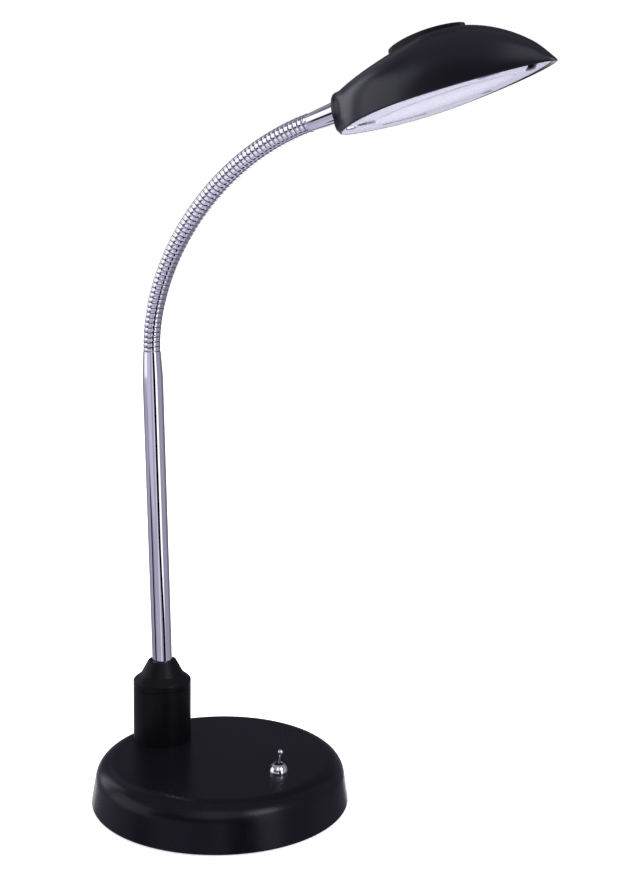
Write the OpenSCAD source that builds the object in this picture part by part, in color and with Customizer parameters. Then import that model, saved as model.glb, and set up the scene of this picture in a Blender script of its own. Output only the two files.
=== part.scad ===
// Gooseneck desk lamp: a weighted round base with a toggle switch, a leaning chrome stem,
// a wound flexible neck and a mussel-shaped LED head. Millimetres, +Z up. The origin is on
// the table at the centre of the base, and the neck leans and bends in the XZ plane, with
// the head towards +X.

/* [Base] */
// Diameter of the base at its foot
base_d = 150; // [148:1:170]
// Height of the base top over the table
base_h = 26.4; // [25.4:0.2:34]
// How much narrower the base is under its rounded shoulder, on the radius
side_draft = 2.2; // [1.2:0.1:4]
// Radius of the rounded shoulder
shoulder_r = 12; // [8:0.5:13]
// Wall of the moulded base cover
cover_wall = 2.4; // [1.6:0.1:2.8]
// Thickness of the steel base plate
plate_t = 1.6; // [1.6:0.1:2.4]
// Diameter of the foam pad that the lamp stands on
pad_d = 128; // [110:1:134]
// Thickness of the foam pad
pad_t = 1.2; // [0.8:0.1:2]
// Diameter of the cast weight
weight_d = 124; // [122:1:126]
// Thickness of the cast weight
weight_t = 10.8; // [8:0.1:11.4]
// Pitch circle of the screws that hold the cover
cover_pcd = 110; // [106:1:112]
// Diameter of the self-tapping screws that hold the cover
cover_screw_d = 3; // [2.5:0.1:3.5]
// Pitch circle of the screws that hold the weight
weight_pcd = 76; // [70:1:80]
// Thread diameter of the weight's screws
weight_screw_d = 4; // [3:0.5:4.5]

/* [Post and stem] */
// Distance of the post behind the centre of the base
post_x = 45.3; // [42:0.1:46]
// Diameter of the post sleeve
post_d = 33.8; // [31:0.2:36]
// Height of the post sleeve over the base top
sleeve_h = 35.8; // [32:0.2:44]
// Wall of the post sleeve
sleeve_wall = 2.2; // [1.6:0.1:3]
// Height of the conical cap
cap_h = 13.2; // [12:0.2:16]
// Diameter of the cap where its shoulder turns into the cone
cap_neck_d = 24.4; // [22:0.2:26]
// Diameter of the steel bush that holds the stem
bush_d = 20; // [18:0.5:22]
// Thread diameter of the hollow stud under the bush
stud_d = 10; // [9:0.5:11]
// Outside diameter of the chrome stem
stem_d = 12; // [11:0.1:12.4]
// Wall of the chrome stem
stem_wall = 1; // [0.8:0.1:1.2]
// Visible length of the stem over the cap
stem_h = 184.6; // [150:1:220]
// Length of the stem inside the post
stem_sunk = 36; // [30:0.5:38]
// Angle that the stem leans back from the vertical, in degrees
stem_lean = 2.35; // [0:0.05:3]
// Outside diameter of the stem's rolled mouth
mouth_d = 10.4; // [10:0.1:10.8]
// Length over which the stem narrows to its mouth
mouth_l = 15; // [10:0.5:20]

/* [Neck] */
// Outside diameter of the wound neck
neck_d = 9.9; // [9.4:0.1:10.2]
// Bore of the wound neck
neck_bore_d = 4; // [3.6:0.1:4.4]
// Pitch of the winding
turn_pitch = 2.95; // [2.8:0.01:3.1]
// Width of the groove between two turns
groove_w = 0.45; // [0.3:0.05:0.6]
// Depth of the groove between two turns
groove_d = 0.55; // [0.3:0.05:0.7]
// Bend of the first joint over the stem at rest, in degrees
first_turn = 8.3; // [6:0.1:9]
// Bend of the last joint under the head at rest, in degrees
last_turn = 4.27; // [3.5:0.01:4.8]
// Diameter of the rounded seat between two links
seat_d = 7.4; // [7:0.1:7.6]

/* [Head] */
// Length of the shade
shade_l = 121; // [118:1:126]
// Width of the shade
shade_w = 44; // [42:0.5:54]
// Height of the shade's crown over its rim
shade_h = 33; // [31:0.5:38]
// Height of the blunt neck end of the shade
nose_h = 20; // [19:0.5:22]
// Width of the blunt neck end of the shade
nose_w = 15.6; // [14.6:0.2:18]
// Wall of the shade
shade_wall = 1.6; // [1.4:0.1:2.2]
// Height of the neck's axis over the shade's rim
neck_entry_h = 11.6; // [11:0.1:12]
// Droop of the shade against the neck's axis, in degrees
shade_droop = 1.3; // [0:0.1:3]
// Length of the oval top cap
top_cap_l = 42; // [38:0.5:48]
// Width of the oval top cap
top_cap_w = 18; // [16:0.5:20]
// Height that the top cap stands over the crown
top_cap_rise = 1.8; // [1.4:0.1:3]
// Visible length of the ferrule
ferrule_l = 17.8; // [14:0.1:22]
// Diameter of the ferrule next to the winding
ferrule_tip_d = 8.2; // [7.8:0.1:8.8]
// Diameter of the ferrule at the shade
ferrule_foot_d = 10.8; // [10:0.1:11.6]
// Thickness of the underside panel
panel_t = 1.4; // [1:0.1:1.8]
// How far the underside panel sits inside the rim
panel_inset = 1.0; // [0.6:0.1:1.6]

/* [Light] */
// Length of the light window and its diffuser
window_l = 80; // [70:1:84]
// Width of the light window
window_w = 26; // [24:0.5:28]
// Thickness of the diffuser
diffuser_t = 1.2; // [0.8:0.1:1.6]
// Length of the LED board
board_l = 66; // [60:1:70]
// Width of the LED board
board_w = 16; // [14:0.5:18]
// LEDs along the board
led_columns = 12; // [8:1:14]
// Height of the heat sink's fins
fin_h = 9; // [6:0.5:10]

/* [Switch] */
// Distance of the toggle switch in front of the centre of the base
switch_x = 41.4; // [38:0.1:44]
// Thread diameter of the switch bushing
bushing_d = 6; // [5.6:0.1:6.2]
// Diameter of the dome nut
dome_d = 10.7; // [10:0.1:12]
// Height of the dome nut
dome_h = 4.7; // [4.5:0.1:5.5]
// Length of the lever from its fulcrum to the middle of its ball tip
lever_l = 9; // [8.6:0.1:12]
// Diameter of the lever's ball tip
lever_tip_d = 3.2; // [2.6:0.1:3.6]
// Throw of the lever to each side, in degrees
lever_throw = 12; // [8:0.5:13]

/* [Inlet] */
// Height of the power inlet's axis over the table
inlet_h = 11; // [10.4:0.1:11.4]
// Thread diameter of the inlet's bushing
inlet_d = 8; // [7.5:0.1:8.4]
// Bore that the power plug goes into
inlet_bore_d = 5.7; // [5.5:0.05:5.9]

/* [Hidden] */
link_count = 14;

$fn = 64;
fit = 0.05;        // gap of a pressed or screwed fit, on the radius
gap = 0.3;         // gap between pieces that only lie beside each other
seat_gap = 0.2;    // gap of the rounded seats between the neck's links
over = 1;          // how far a cutting body runs past the face that it cuts

// Levels of the base, from the table up
plate_z = pad_t;
weight_z = plate_z + plate_t;
weight_top = weight_z + weight_t;
cover_foot_z = 0.8;
cover_inner_top = base_h - cover_wall;
foot_r = base_d / 2;
wall_top_r = foot_r - side_draft;
cover_boss_r = cover_screw_d + 1.5;
plate_r = foot_r - cover_wall - 1.1;

// Post and stem
recess_d = 0.8;
sleeve_foot_z = base_h - recess_d;
sleeve_top_z = base_h + sleeve_h;
post_top_z = sleeve_top_z + cap_h;
bush_r = bush_d / 2;
bush_top_z = sleeve_top_z - 4;
stud_r = stud_d / 2;
stud_foot_z = weight_top + 3.4;
stem_r = stem_d / 2;
mouth_r = mouth_d / 2;
shank_r = mouth_r - stem_wall;
shank_l = 10;

// Neck
neck_r = neck_d / 2;
neck_bore_r = neck_bore_d / 2;
turns_per_link = 4;
link_l = turns_per_link * turn_pitch;
stub_l = link_l / 2;
seat_r = seat_d / 2;
joint_gap = 0.65;
joint_count = link_count + 1;

// Bend of joint k at rest: strongest where the neck leaves the stem, then falling off
function turn(k) = last_turn + (first_turn - last_turn) * pow((joint_count - k) / (joint_count - 1), 4);
// Angle of link k from the vertical; link 0 is the stub in the stem
function heading(k) = k == 0 ? -stem_lean : heading(k - 1) + turn(k);
function along(angle) = [sin(angle), 0, cos(angle)];
stem_top = [-post_x, 0, post_top_z] + stem_h * along(-stem_lean);
// Centre of joint k, where link k starts
function joint_at(k) = k == 1 ? stem_top + stub_l * along(heading(0))
                              : joint_at(k - 1) + link_l * along(heading(k - 1));
tip_heading = heading(joint_count);
neck_end = joint_at(joint_count) + stub_l * along(tip_heading);

// Head
head_pitch = 90 - tip_heading - shade_droop;
nose_bulge = 0.7;
nose_blend_l = 22;     // length over which the blunt end fades into the shade
nose_lean_l = 20;
chin_h = 4;
skin_edge = 0.35;
nose_set = ferrule_l + nose_bulge - 0.1;
crown_at = 0.496 * shade_l;
widest_at = 0.397 * shade_l;
cap_at = 0.475 * shade_l;
spigot_r = 4;
spigot_nut_t = 3;
wire_bore_r = 2.2;
ferrule_socket_l = 8;
boss_l = 7;
panel_top = panel_inset + panel_t;
window_at = 0.49 * shade_l;
board_lift = panel_top + 5.6;
board_t = 1.2;
chip_t = 0.8;
sink_t = 2;
sink_z = board_lift + board_t;
sink_top = sink_z + sink_t;
cap_crown_r = 85;
cap_side_r = 18;
cap_t = 2.2;
cap_clear = 0.2;
side_screw = [10.4, -6.4];
side_boss_r = 2.9;
side_boss_h = 5.2;
tip_boss_r = 3.6;
panel_screw_l = 5.4;
slots = [[[22.1, 9], [41, 15.6], 1], [[75.2, 15.2], [78.2, 14.8], 1.6], [[14.4, -3.2], [14.8, -6.2], 1]];
tip_screw_u = 0.895 * shade_l;
panel_to = 0.955 * shade_l;
panel_edge = shade_wall + gap + 0.1;
panel_screw_r = 1.1;
boss_drop = 1.6;

// Switch
washer_t = 0.6;
thin_nut_t = 2;
body_top = cover_inner_top - washer_t - thin_nut_t;
body_size = [8, 13, 9];
bushing_r = bushing_d / 2;
dome_r = dome_d / 2;
bushing_top = base_h + dome_h - 1.2;
fulcrum_r = 1.7;
fulcrum_z = base_h + 2.2;
lever_shaft_r = 0.65;
lever_tail_l = fulcrum_z - body_top + 2;
tail_room = (fulcrum_z - body_top + over) * tan(lever_throw) + 0.55 + gap / 2;

// Inlet
inlet_face_x = foot_r - side_draft - 0.2;
inlet_pad_t = 2.4;
inlet_nut_r = inlet_d / 2 + 1.8;
shoulder_z = base_h - shoulder_r;
// Radius of the cover's inside at height z
function cover_inner_r(z) = z <= shoulder_z ? wall_top_r - cover_wall
    : wall_top_r - shoulder_r + sqrt(max(0, pow(shoulder_r - cover_wall, 2) - pow(z - shoulder_z, 2)));
inlet_back_x = min(inlet_face_x - inlet_pad_t, cover_inner_r(inlet_h + inlet_nut_r) - gap);
inlet_seat_t = inlet_face_x - inlet_back_x;
inlet_body_l = 12;

module ring_of(count, pcd, from = 0) {
    for (i = [0:count - 1])
        rotate([0, 0, from + i * 360 / count]) translate([pcd / 2, 0, 0]) children();
}

// Washer, bush or disc with a bore
module ring_disc(r, bore_r, h) {
    difference() {
        cylinder(r = r, h = h);
        translate([0, 0, -over]) cylinder(r = bore_r, h = h + 2 * over);
    }
}

module hex_nut(corner_r, bore_r, h) {
    difference() {
        cylinder(r = corner_r, h = h, $fn = 6);
        translate([0, 0, -over]) cylinder(r = bore_r, h = h + 2 * over);
    }
}

// Screw that stands on its countersunk head, thread upwards, from z = 0
module countersunk_screw(r, l) {
    head_r = 1.7 * r;
    difference() {
        union() {
            cylinder(r1 = head_r, r2 = r, h = head_r - r);
            cylinder(r = r, h = l);
        }
        for (a = [0, 90])
            rotate([0, 0, a]) translate([-head_r * 0.6, -0.4, -over]) cube([head_r * 1.2, 0.8, over + 0.7]);
    }
}

module countersink(r, l) {
    head_r = 1.7 * r + 2 * fit;
    translate([0, 0, -0.01]) cylinder(r1 = head_r, r2 = r + 2 * fit, h = head_r - r);
    translate([0, 0, -over]) cylinder(r = r + 2 * fit, h = l + over);
}

// Round lead swept along points, with flat ends. Each ring's first side is the last ring's,
// turned into the new direction, so that the skin does not twist.
function unit(v) = v / norm(v);
function lead_dir(p, i) = i == 0 ? unit(p[1] - p[0])
    : i == len(p) - 1 ? unit(p[i] - p[i - 1])
    : unit(unit(p[i] - p[i - 1]) + unit(p[i + 1] - p[i]));
function turned_side(s, d) = unit(s - (s * d) * d);
module lead(points, r, sides = 8) {
    n = len(points);
    first = lead_dir(points, 0);
    start_side = unit(cross(abs(first[1]) < 0.8 ? [0, 1, 0] : [1, 0, 0], first));
    side_list = [for (i = 0, s = start_side; i < n;
        i = i + 1, s = i < n ? turned_side(s, lead_dir(points, i)) : s) s];
    polyhedron(
        points = [for (i = [0:n - 1]) for (j = [0:sides - 1])
            let (a = 360 * j / sides, s = side_list[i])
            points[i] + r * (cos(a) * s - sin(a) * cross(lead_dir(points, i), s))],
        faces = concat(
            [[for (j = [0:sides - 1]) sides - 1 - j]],
            [[for (j = [0:sides - 1]) (n - 1) * sides + j]],
            [for (i = [0:n - 2]) for (j = [0:sides - 1]) let (k = (j + 1) % sides)
                [i * sides + j, i * sides + k, (i + 1) * sides + k, (i + 1) * sides + j]]));
}

// ---- Base ----

module foot_pad() {
    color("dimgray") cylinder(r = pad_d / 2, h = pad_t);
}

module weight_screw_places() {
    ring_of(3, weight_pcd, 60) children();
}

module cover_screw_places() {
    ring_of(4, cover_pcd, 45) children();
}

module base_plate() {
    color("black") translate([0, 0, plate_z]) difference() {
        cylinder(r = plate_r, h = plate_t);
        cover_screw_places() countersink(cover_screw_d / 2, plate_t + over);
        weight_screw_places() countersink(weight_screw_d / 2, plate_t + over);
    }
}

// Clearance round the switch body and its lugs, from the weight's foot to its top
module switch_pocket(margin) {
    translate([switch_x - body_size[0] / 2 - margin, -body_size[1] / 2 - margin - 2, weight_z - over])
        cube([body_size[0] + 2 * margin, body_size[1] + 2 * margin + 4, weight_t + 2 * over]);
}

module base_weight() {
    color("gray") difference() {
        translate([0, 0, weight_z]) cylinder(r = weight_d / 2, h = weight_t);
        switch_pocket(3);
        // notch for the power inlet
        translate([-foot_r, -inlet_d, weight_z - over])
            cube([foot_r - (inlet_back_x - inlet_body_l - 8), 2 * inlet_d, weight_t + 2 * over]);
        cover_screw_places() translate([0, 0, weight_z - over])
            cylinder(r = cover_boss_r + gap, h = weight_t + 2 * over);
        weight_screw_places() translate([0, 0, weight_z - over])
            cylinder(r = weight_screw_d / 2 + fit, h = weight_t + 2 * over);
    }
}

// Half section of the cover's outside, or of its hollow when inset; the shoulder is an exact arc
module cover_section(inset) {
    r = shoulder_r - inset;
    top = wall_top_r - inset;
    ceiling = base_h - inset;
    floor_z = cover_foot_z - (inset > 0 ? over : 0);
    polygon([[0, floor_z], [foot_r - inset, floor_z], [top, ceiling - r], [top - r, ceiling - r],
             [top - r, ceiling], [0, ceiling]]);
    intersection() {
        translate([top - r, ceiling - r]) circle(r = r);
        translate([top - r - 0.01, ceiling - r - 0.01]) square(r + 0.02);
    }
}

module base_cover() {
    color([0.03, 0.03, 0.035]) difference() {
        union() {
            difference() {
                rotate_extrude() cover_section(0);
                rotate_extrude() cover_section(cover_wall);
            }
            // bosses for the screws
            cover_screw_places() translate([0, 0, weight_z])
                cylinder(r = cover_boss_r, h = cover_inner_top - weight_z + gap);
            // flat pad behind the power inlet
            intersection() {
                translate([-inlet_face_x, 0, inlet_h]) rotate([0, 90, 0])
                    cylinder(r = inlet_d, h = inlet_seat_t);
                rotate_extrude() cover_section(0);
            }
        }
        cover_screw_places() translate([0, 0, weight_z - over])
            cylinder(r = cover_screw_d / 2 + fit, h = 12);
        // post: locating recess and hole for the stud
        translate([-post_x, 0, sleeve_foot_z]) cylinder(r = post_d / 2 + 2 * fit, h = recess_d + over);
        translate([-post_x, 0, cover_inner_top - over]) cylinder(r = stud_r + gap, h = cover_wall + 2 * over);
        // switch hole
        translate([switch_x, 0, cover_inner_top - over]) cylinder(r = bushing_r + fit, h = cover_wall + 2 * over);
        // power inlet: flat recess outside and hole for the bushing
        translate([-inlet_face_x, 0, inlet_h]) rotate([0, -90, 0]) cylinder(r = inlet_d * 0.9, h = 6);
        translate([-inlet_face_x - over, 0, inlet_h]) rotate([0, 90, 0])
            cylinder(r = inlet_d / 2 + fit, h = inlet_seat_t + 2 * over);
    }
}

module cover_screws() {
    color("silver") cover_screw_places() translate([0, 0, plate_z])
        countersunk_screw(cover_screw_d / 2, 11);
}

module weight_screws() {
    color("silver") weight_screw_places() translate([0, 0, plate_z])
        countersunk_screw(weight_screw_d / 2, weight_t);
}

// ---- Toggle switch ----

module at_switch(z) {
    translate([switch_x, 0, z]) children();
}

module switch_body() {
    color([0.1, 0.15, 0.35]) at_switch(body_top - body_size[2]) difference() {
        translate([-body_size[0] / 2, -body_size[1] / 2, 0]) cube(body_size);
        // room for the lever's tail
        translate([-1.5, -3, body_size[2] - 4]) cube([3, 6, 4 + over]);
    }
}

module switch_terminals() {
    color("gold") at_switch(body_top - body_size[2] - 4) for (y = [-4.7, 0, 4.7])
        translate([-0.4, y - 0.9, 0]) cube([0.8, 1.8, 4]);
}

module switch_bushing() {
    color("silver") at_switch(0) difference() {
        union() {
            translate([0, 0, body_top]) cylinder(r = bushing_r, h = bushing_top - body_top);
            translate([-body_size[0] / 2, -body_size[1] / 2, body_top]) cube([body_size[0], body_size[1], 0.5]);
        }
        // seat of the fulcrum, with room for the lever above and for its tail below
        translate([0, 0, fulcrum_z]) sphere(r = fulcrum_r + fit);
        translate([0, 0, fulcrum_z]) cylinder(r1 = 1.2, r2 = 2.1, h = bushing_top - fulcrum_z + 0.01);
        translate([0, 0, body_top - over]) cylinder(r1 = tail_room, r2 = 1.3, h = fulcrum_z - body_top + over);
    }
}

module switch_inner_nut() {
    color("silver") at_switch(body_top + 0.5)
        hex_nut(bushing_r + 1.9, bushing_r + fit, thin_nut_t - 0.5);
}

module switch_washer() {
    color("silver") at_switch(cover_inner_top - washer_t) ring_disc(bushing_r + 2.5, bushing_r + fit, washer_t);
}

module switch_dome_nut() {
    dome_centre = 0.9;
    opening_r = bushing_r - 0.3;
    color("gainsboro") at_switch(base_h) difference() {
        rotate_extrude() intersection() {
            union() {
                translate([0, dome_centre]) circle(r = dome_r);
                square([dome_r, dome_centre]);
            }
            square([dome_r + over, dome_h]);
        }
        translate([0, 0, -over]) cylinder(r = bushing_r + fit, h = dome_h - 1 + over);
        cylinder(r = opening_r, h = dome_h + over);
    }
}

module switch_lever() {
    color("gainsboro") at_switch(fulcrum_z) rotate([-lever_throw, 0, 0]) {
        sphere(r = fulcrum_r);
        cylinder(r1 = lever_shaft_r + 0.25, r2 = lever_shaft_r, h = lever_l);
        translate([0, 0, lever_l]) sphere(r = lever_tip_d / 2);
        translate([0, 0, -lever_tail_l]) cylinder(r1 = 0.5, r2 = 0.8, h = lever_tail_l);
    }
}

// ---- Power inlet in the back of the base ----

module at_inlet(x) {
    translate([-x, 0, inlet_h]) rotate([0, 90, 0]) children();
}

module inlet_body() {
    body_w = inlet_d + 2;
    color([0.05, 0.05, 0.05]) difference() {
        union() {
            at_inlet(inlet_face_x) translate([0, 0, -0.8]) cylinder(r = inlet_d / 2, h = inlet_seat_t + 3.6);
            at_inlet(inlet_face_x) translate([0, 0, -1.4]) cylinder(r = inlet_d * 0.72, h = 1.4);
            at_inlet(inlet_back_x) translate([-body_w / 2, -body_w / 2, 2.6]) cube([body_w, body_w, inlet_body_l - 2.6]);
        }
        at_inlet(inlet_face_x + 2) cylinder(r = inlet_bore_d / 2, h = 2 + 9.5);
    }
}

module inlet_pin() {
    color("silver") at_inlet(inlet_face_x - 1) {
        cylinder(r = 1, h = 8.5);
        sphere(r = 1);
    }
}

module inlet_nut() {
    color("silver") at_inlet(inlet_back_x) hex_nut(inlet_nut_r, inlet_d / 2 + fit, 2.4);
}

// ---- Driver and leads ----

board_at = [2, 34];
driver_size = [34, 20, 1.6];
driver_z = weight_top + 2;

module driver_board() {
    color("darkgreen") translate([board_at[0] - driver_size[0] / 2, board_at[1] - driver_size[1] / 2, 0]) {
        translate([0, 0, driver_z]) cube(driver_size);
        for (x = [4, driver_size[0] - 4]) for (y = [4, driver_size[1] - 4])
            translate([x, y, weight_top]) cylinder(r = 1.6, h = driver_z - weight_top);
    }
}

module driver_parts() {
    top = driver_z + driver_size[2];
    room = cover_inner_top - top;
    color("dimgray") translate([board_at[0], board_at[1], top]) {
        translate([-9, 3, 0]) cylinder(r = 4, h = room - 1.8);          // choke
        translate([9, 4, 0]) cylinder(r = 3, h = room - 1.2);          // capacitor
        translate([-2.5, -3, 0]) cube([5, 4, 1.5]);             // regulator
        for (x = [6, 10]) translate([x, -5, 0]) cube([2, 1.2, 0.6]);
    }
}

lead_z = weight_top + 1.5;
driver_edge = board_at[0] - driver_size[0] / 2 - fit;
driver_far = board_at[0] + driver_size[0] / 2 + fit;
lead_run = 2.5;    // straight run of a lead into its solder joint
module supply_lead() {
    back = -(inlet_back_x - inlet_body_l) + fit;
    color("firebrick") lead([
        [back, 0, inlet_h], [back + 2, 0, inlet_h], [back + 5, 2.5, max(inlet_h + 3, lead_z - 0.6)],
        [back + 7, 7, lead_z], [back + 10, 13, lead_z], [-42, 24, lead_z], [-32, 34, lead_z], [-23, 38, lead_z + 0.3],
        [driver_edge - lead_run, 38, driver_z + 0.8], [driver_edge, 38, driver_z + 0.8]
    ], 0.9);
}

module switch_lead() {
    level = body_top - body_size[2] - 2.4;
    x = switch_x;
    color("firebrick") lead([
        [driver_far, 32, driver_z + 0.8], [driver_far + lead_run, 32, driver_z + 0.8],
        [x - 16, 30.6, lead_z + 0.2], [x - 11, 27, lead_z],
        [x - 7, 21, lead_z], [x - 5, 15, lead_z], [x - 4, 11, lead_z - 0.6], [x - 3.2, 9.6, lead_z - 3],
        [x - 2, 9, level + 0.8], [x - 0.5, 8.3, level + 0.1], [x, 7.2, level], [x, 5.6 + fit, level]
    ], 0.9);
}

stem_lead_r = 1.1;
module stem_lead() {
    color("ivory") lead(concat(
        [[driver_edge, 29, driver_z + 0.8], [driver_edge - lead_run, 29, driver_z + 0.8], [-23, 26, lead_z + 0.2], [-30, 20, lead_z], [-37, 12, lead_z],
         [-41.5, 6, lead_z - 0.2], [-post_x + 1.6, 2.2, lead_z - 0.1], [-post_x + 0.3, 0.5, lead_z + 1.2]],
        [for (z = [stud_foot_z + 1.6, 30]) [-post_x, 0, z]],
        [for (i = [0:6]) [-post_x, 0, post_top_z] + (-30 + (stem_h + 30 - 1) * i / 6) * along(-stem_lean)],
        [joint_at(1) - 2.5 * along(heading(0)), joint_at(1) - 0.2 * along(heading(0))]), stem_lead_r);
}

// ---- Post ----

module at_post(z) {
    translate([-post_x, 0, z]) children();
}

// Frame of the stem: origin where its axis crosses the cap's mouth, +Z up along the stem
module at_stem() {
    at_post(post_top_z) rotate([0, -stem_lean, 0]) children();
}

module post_sleeve() {
    color([0.03, 0.03, 0.035]) at_post(sleeve_foot_z) difference() {
        cylinder(r = post_d / 2, h = sleeve_top_z - sleeve_foot_z);
        translate([0, 0, -over]) cylinder(r = post_d / 2 - sleeve_wall, h = sleeve_top_z - sleeve_foot_z + 2 * over);
    }
}

module post_cap() {
    r = post_d / 2;
    neck_r1 = cap_neck_d / 2;
    lip_r = stem_r + 2;
    shoulder = r - neck_r1 - 0.4;
    spigot_wall = 1.6;
    spigot_r1 = r - sleeve_wall - fit;
    line = 0.7;
    difference() {
        color([0.03, 0.03, 0.035]) at_post(sleeve_top_z) rotate_extrude() difference() {
            union() {
                // parting line, short cylinder, rounded shoulder, cone and rounded lip
                polygon([[0, 0], [r - line, 0], [r - line, line], [r, line], [r, 1], [r - shoulder, 1],
                         [r - shoulder, 1 + shoulder], [neck_r1, 1 + shoulder], [lip_r, cap_h - 1], [0, cap_h - 1]]);
                intersection() {
                    translate([r - shoulder, 1]) circle(r = shoulder);
                    translate([0, 0.9]) square([r + over, shoulder + 1]);
                }
                intersection() {
                    translate([lip_r - 1, cap_h - 1]) circle(r = 1);
                    translate([0, cap_h - 1.2]) square([lip_r + over, 1.2 + over]);
                }
                translate([0, cap_h - 1.5]) square([lip_r - 1, 1.5]);
                // spigot down into the sleeve
                translate([0, -3]) square([spigot_r1, 3.2]);
            }
            // hollow under the cone
            polygon([[0, -3 - over], [spigot_r1 - spigot_wall, -3 - over], [spigot_r1 - spigot_wall, 1],
                     [neck_r1 - 3, shoulder], [stem_r + 1.2, cap_h - 5], [0, cap_h - 5]]);
        }
        at_stem() translate([0, 0, -cap_h]) cylinder(r = stem_r + gap / 2, h = cap_h + 2 * over);
    }
}

module post_bush() {
    color("gray") difference() {
        at_post(0) union() {
            translate([0, 0, base_h - recess_d]) cylinder(r = bush_r, h = bush_top_z - base_h + recess_d);
            translate([0, 0, stud_foot_z]) cylinder(r = stud_r, h = base_h - stud_foot_z);
        }
        at_stem() translate([0, 0, -stem_sunk]) cylinder(r = stem_r + fit, h = stem_sunk);
        at_post(stud_foot_z - over) cylinder(r = 2.6, h = bush_top_z - stud_foot_z);
        at_post(bush_top_z - 7) rotate([90, 0, 0]) cylinder(r = 2 + fit, h = bush_r + over);
    }
}

module bush_grub_screw() {
    color("silver") at_post(bush_top_z - 7) rotate([90, 0, 0]) translate([0, 0, stem_r + 0.2]) difference() {
        cylinder(r = 2, h = bush_r - stem_r - 0.4);
        translate([0, 0, bush_r - stem_r - 2]) cylinder(r = 1.1, h = 2 + over, $fn = 6);
    }
}

module post_washer() {
    color("silver") at_post(cover_inner_top - 1.2) ring_disc(stud_r + 5, stud_r + fit, 1.2);
}

module post_nut() {
    color("silver") at_post(cover_inner_top - 1.2 - 4.4) hex_nut(stud_r + 3.6, stud_r + fit, 4.4);
}

module stem_tube() {
    wall_r = stem_r - stem_wall;
    color("silver") at_stem() rotate_extrude() polygon([
        [wall_r, -stem_sunk], [stem_r, -stem_sunk], [stem_r, stem_h - mouth_l], [mouth_r, stem_h - 0.8],
        [mouth_r - 0.3, stem_h], [shank_r, stem_h], [shank_r, stem_h - mouth_l + 3], [wall_r, stem_h - mouth_l - 2]]);
}

// ---- Wound neck ----

// Outline of the winding: one crowned band for each turn, from z0 on, count bands
function bands(z0, count) = [for (i = [0:count - 1])
    let (low = z0 + i * turn_pitch + groove_w / 2, high = z0 + (i + 1) * turn_pitch - groove_w / 2)
    each [[neck_r - groove_d, low - 0.001], [neck_r - 0.2, low], [neck_r, low + 0.35],
          [neck_r, high - 0.35], [neck_r - 0.2, high], [neck_r - groove_d, high + 0.001]]];

// Frame of joint k, turned as link k: +Z runs up the link
module at_joint(k) {
    translate(joint_at(k)) rotate([0, heading(k), 0]) children();
}

// Body of one link between two joints: outline of revolution, socket below, ball above
module neck_link(k) {
    color("silver") at_joint(k) difference() {
        union() {
            link_winding();
            link_ball();
        }
        link_socket();
        translate([0, 0, -over]) cylinder(r = neck_bore_r, h = link_l + seat_r + over);
    }
}

// Bands of a link, held between the two joint gaps
module link_winding() {
    difference() {
        rotate_extrude() polygon(concat(
            [[0, 0]], bands(0, turns_per_link), [[0, link_l]]));
        joint_cut(0);
        translate([0, 0, link_l]) mirror([0, 0, 1]) joint_cut(0);
    }
}

// What is cut away at a joint so that the next link can tilt
module joint_cut(z) {
    translate([0, 0, z]) rotate_extrude() polygon([
        [0, -over], [neck_r + over, -over], [neck_r + over, joint_gap + 0.35], [neck_r, joint_gap + 0.35],
        [neck_r - 0.7, joint_gap], [0, joint_gap]]);
}

module link_ball() {
    translate([0, 0, link_l]) intersection() {
        sphere(r = seat_r);
        translate([0, 0, -joint_gap - 1]) cylinder(r = seat_r + over, h = joint_gap + 1 + 1.6);
    }
}

module link_socket() {
    sphere(r = seat_r + seat_gap);
}

// Lower end of the neck, pressed into the stem's mouth
module neck_root() {
    color("silver") at_stem() translate([0, 0, stem_h]) difference() {
        union() {
            translate([0, 0, stub_l - link_l]) difference() {
                link_winding();
                translate([0, 0, -over]) cylinder(r = neck_r + over, h = link_l - stub_l + 0.15 + over);
            }
            translate([0, 0, stub_l - link_l]) link_ball();
            translate([0, 0, -shank_l]) cylinder(r = shank_r - fit, h = shank_l + 1);
        }
        translate([0, 0, -shank_l - over]) cylinder(r = neck_bore_r, h = shank_l + link_l + over);
    }
}

// Upper end of the neck, pressed into the ferrule
module neck_tip() {
    color("silver") at_joint(joint_count) difference() {
        union() {
            difference() {
                link_winding();
                translate([0, 0, stub_l - 0.15]) cylinder(r = neck_r + over, h = link_l);
            }
            cylinder(r = ferrule_tip_d / 2 - 1.1 - fit, h = stub_l + ferrule_socket_l - 0.5);
        }
        link_socket();
        translate([0, 0, -over]) cylinder(r = neck_bore_r, h = link_l + ferrule_socket_l + over);
    }
}

// Lead inside the neck: it bends with the neck
module neck_lead() {
    color("ivory") lead(concat(
        [joint_at(1) + 0.1 * along(heading(1))],
        [for (k = [1:link_count]) for (t = [0.25, 0.5, 0.75, 0.98]) joint_at(k) + t * link_l * along(heading(k))]),
        stem_lead_r);
}

// ---- Head ----

// Frame of the ferrule: origin at the end of the winding, +Z along the neck
module at_ferrule() {
    translate(neck_end) rotate([0, tip_heading, 0]) children();
}

// Frame of the head: origin at the chin of the shade on the rim plane, +X to the tip, +Z to the crown
module at_head() {
    translate(neck_end) rotate([0, -head_pitch, 0]) translate([nose_set, 0, -neck_entry_h]) children();
}

// Half width of the rim at distance u from the neck end
function rim_half(u) = u <= widest_at
    ? shade_w / 2 * pow(max(0, 1 - pow((widest_at - u) / widest_at, 2)), 0.74)
    : shade_w / 2 * pow(max(0, 1 - pow((u - widest_at) / (shade_l - widest_at), 1.6)), 0.66);
// Height of the crown at distance u
function crown(u) = u <= crown_at
    ? shade_h - (shade_h - nose_h) * pow((crown_at - u) / crown_at, 1.6)
    : shade_h * pow(max(0, 1 - pow((u - crown_at) / (shade_l - crown_at), 2)), 0.82);
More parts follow.
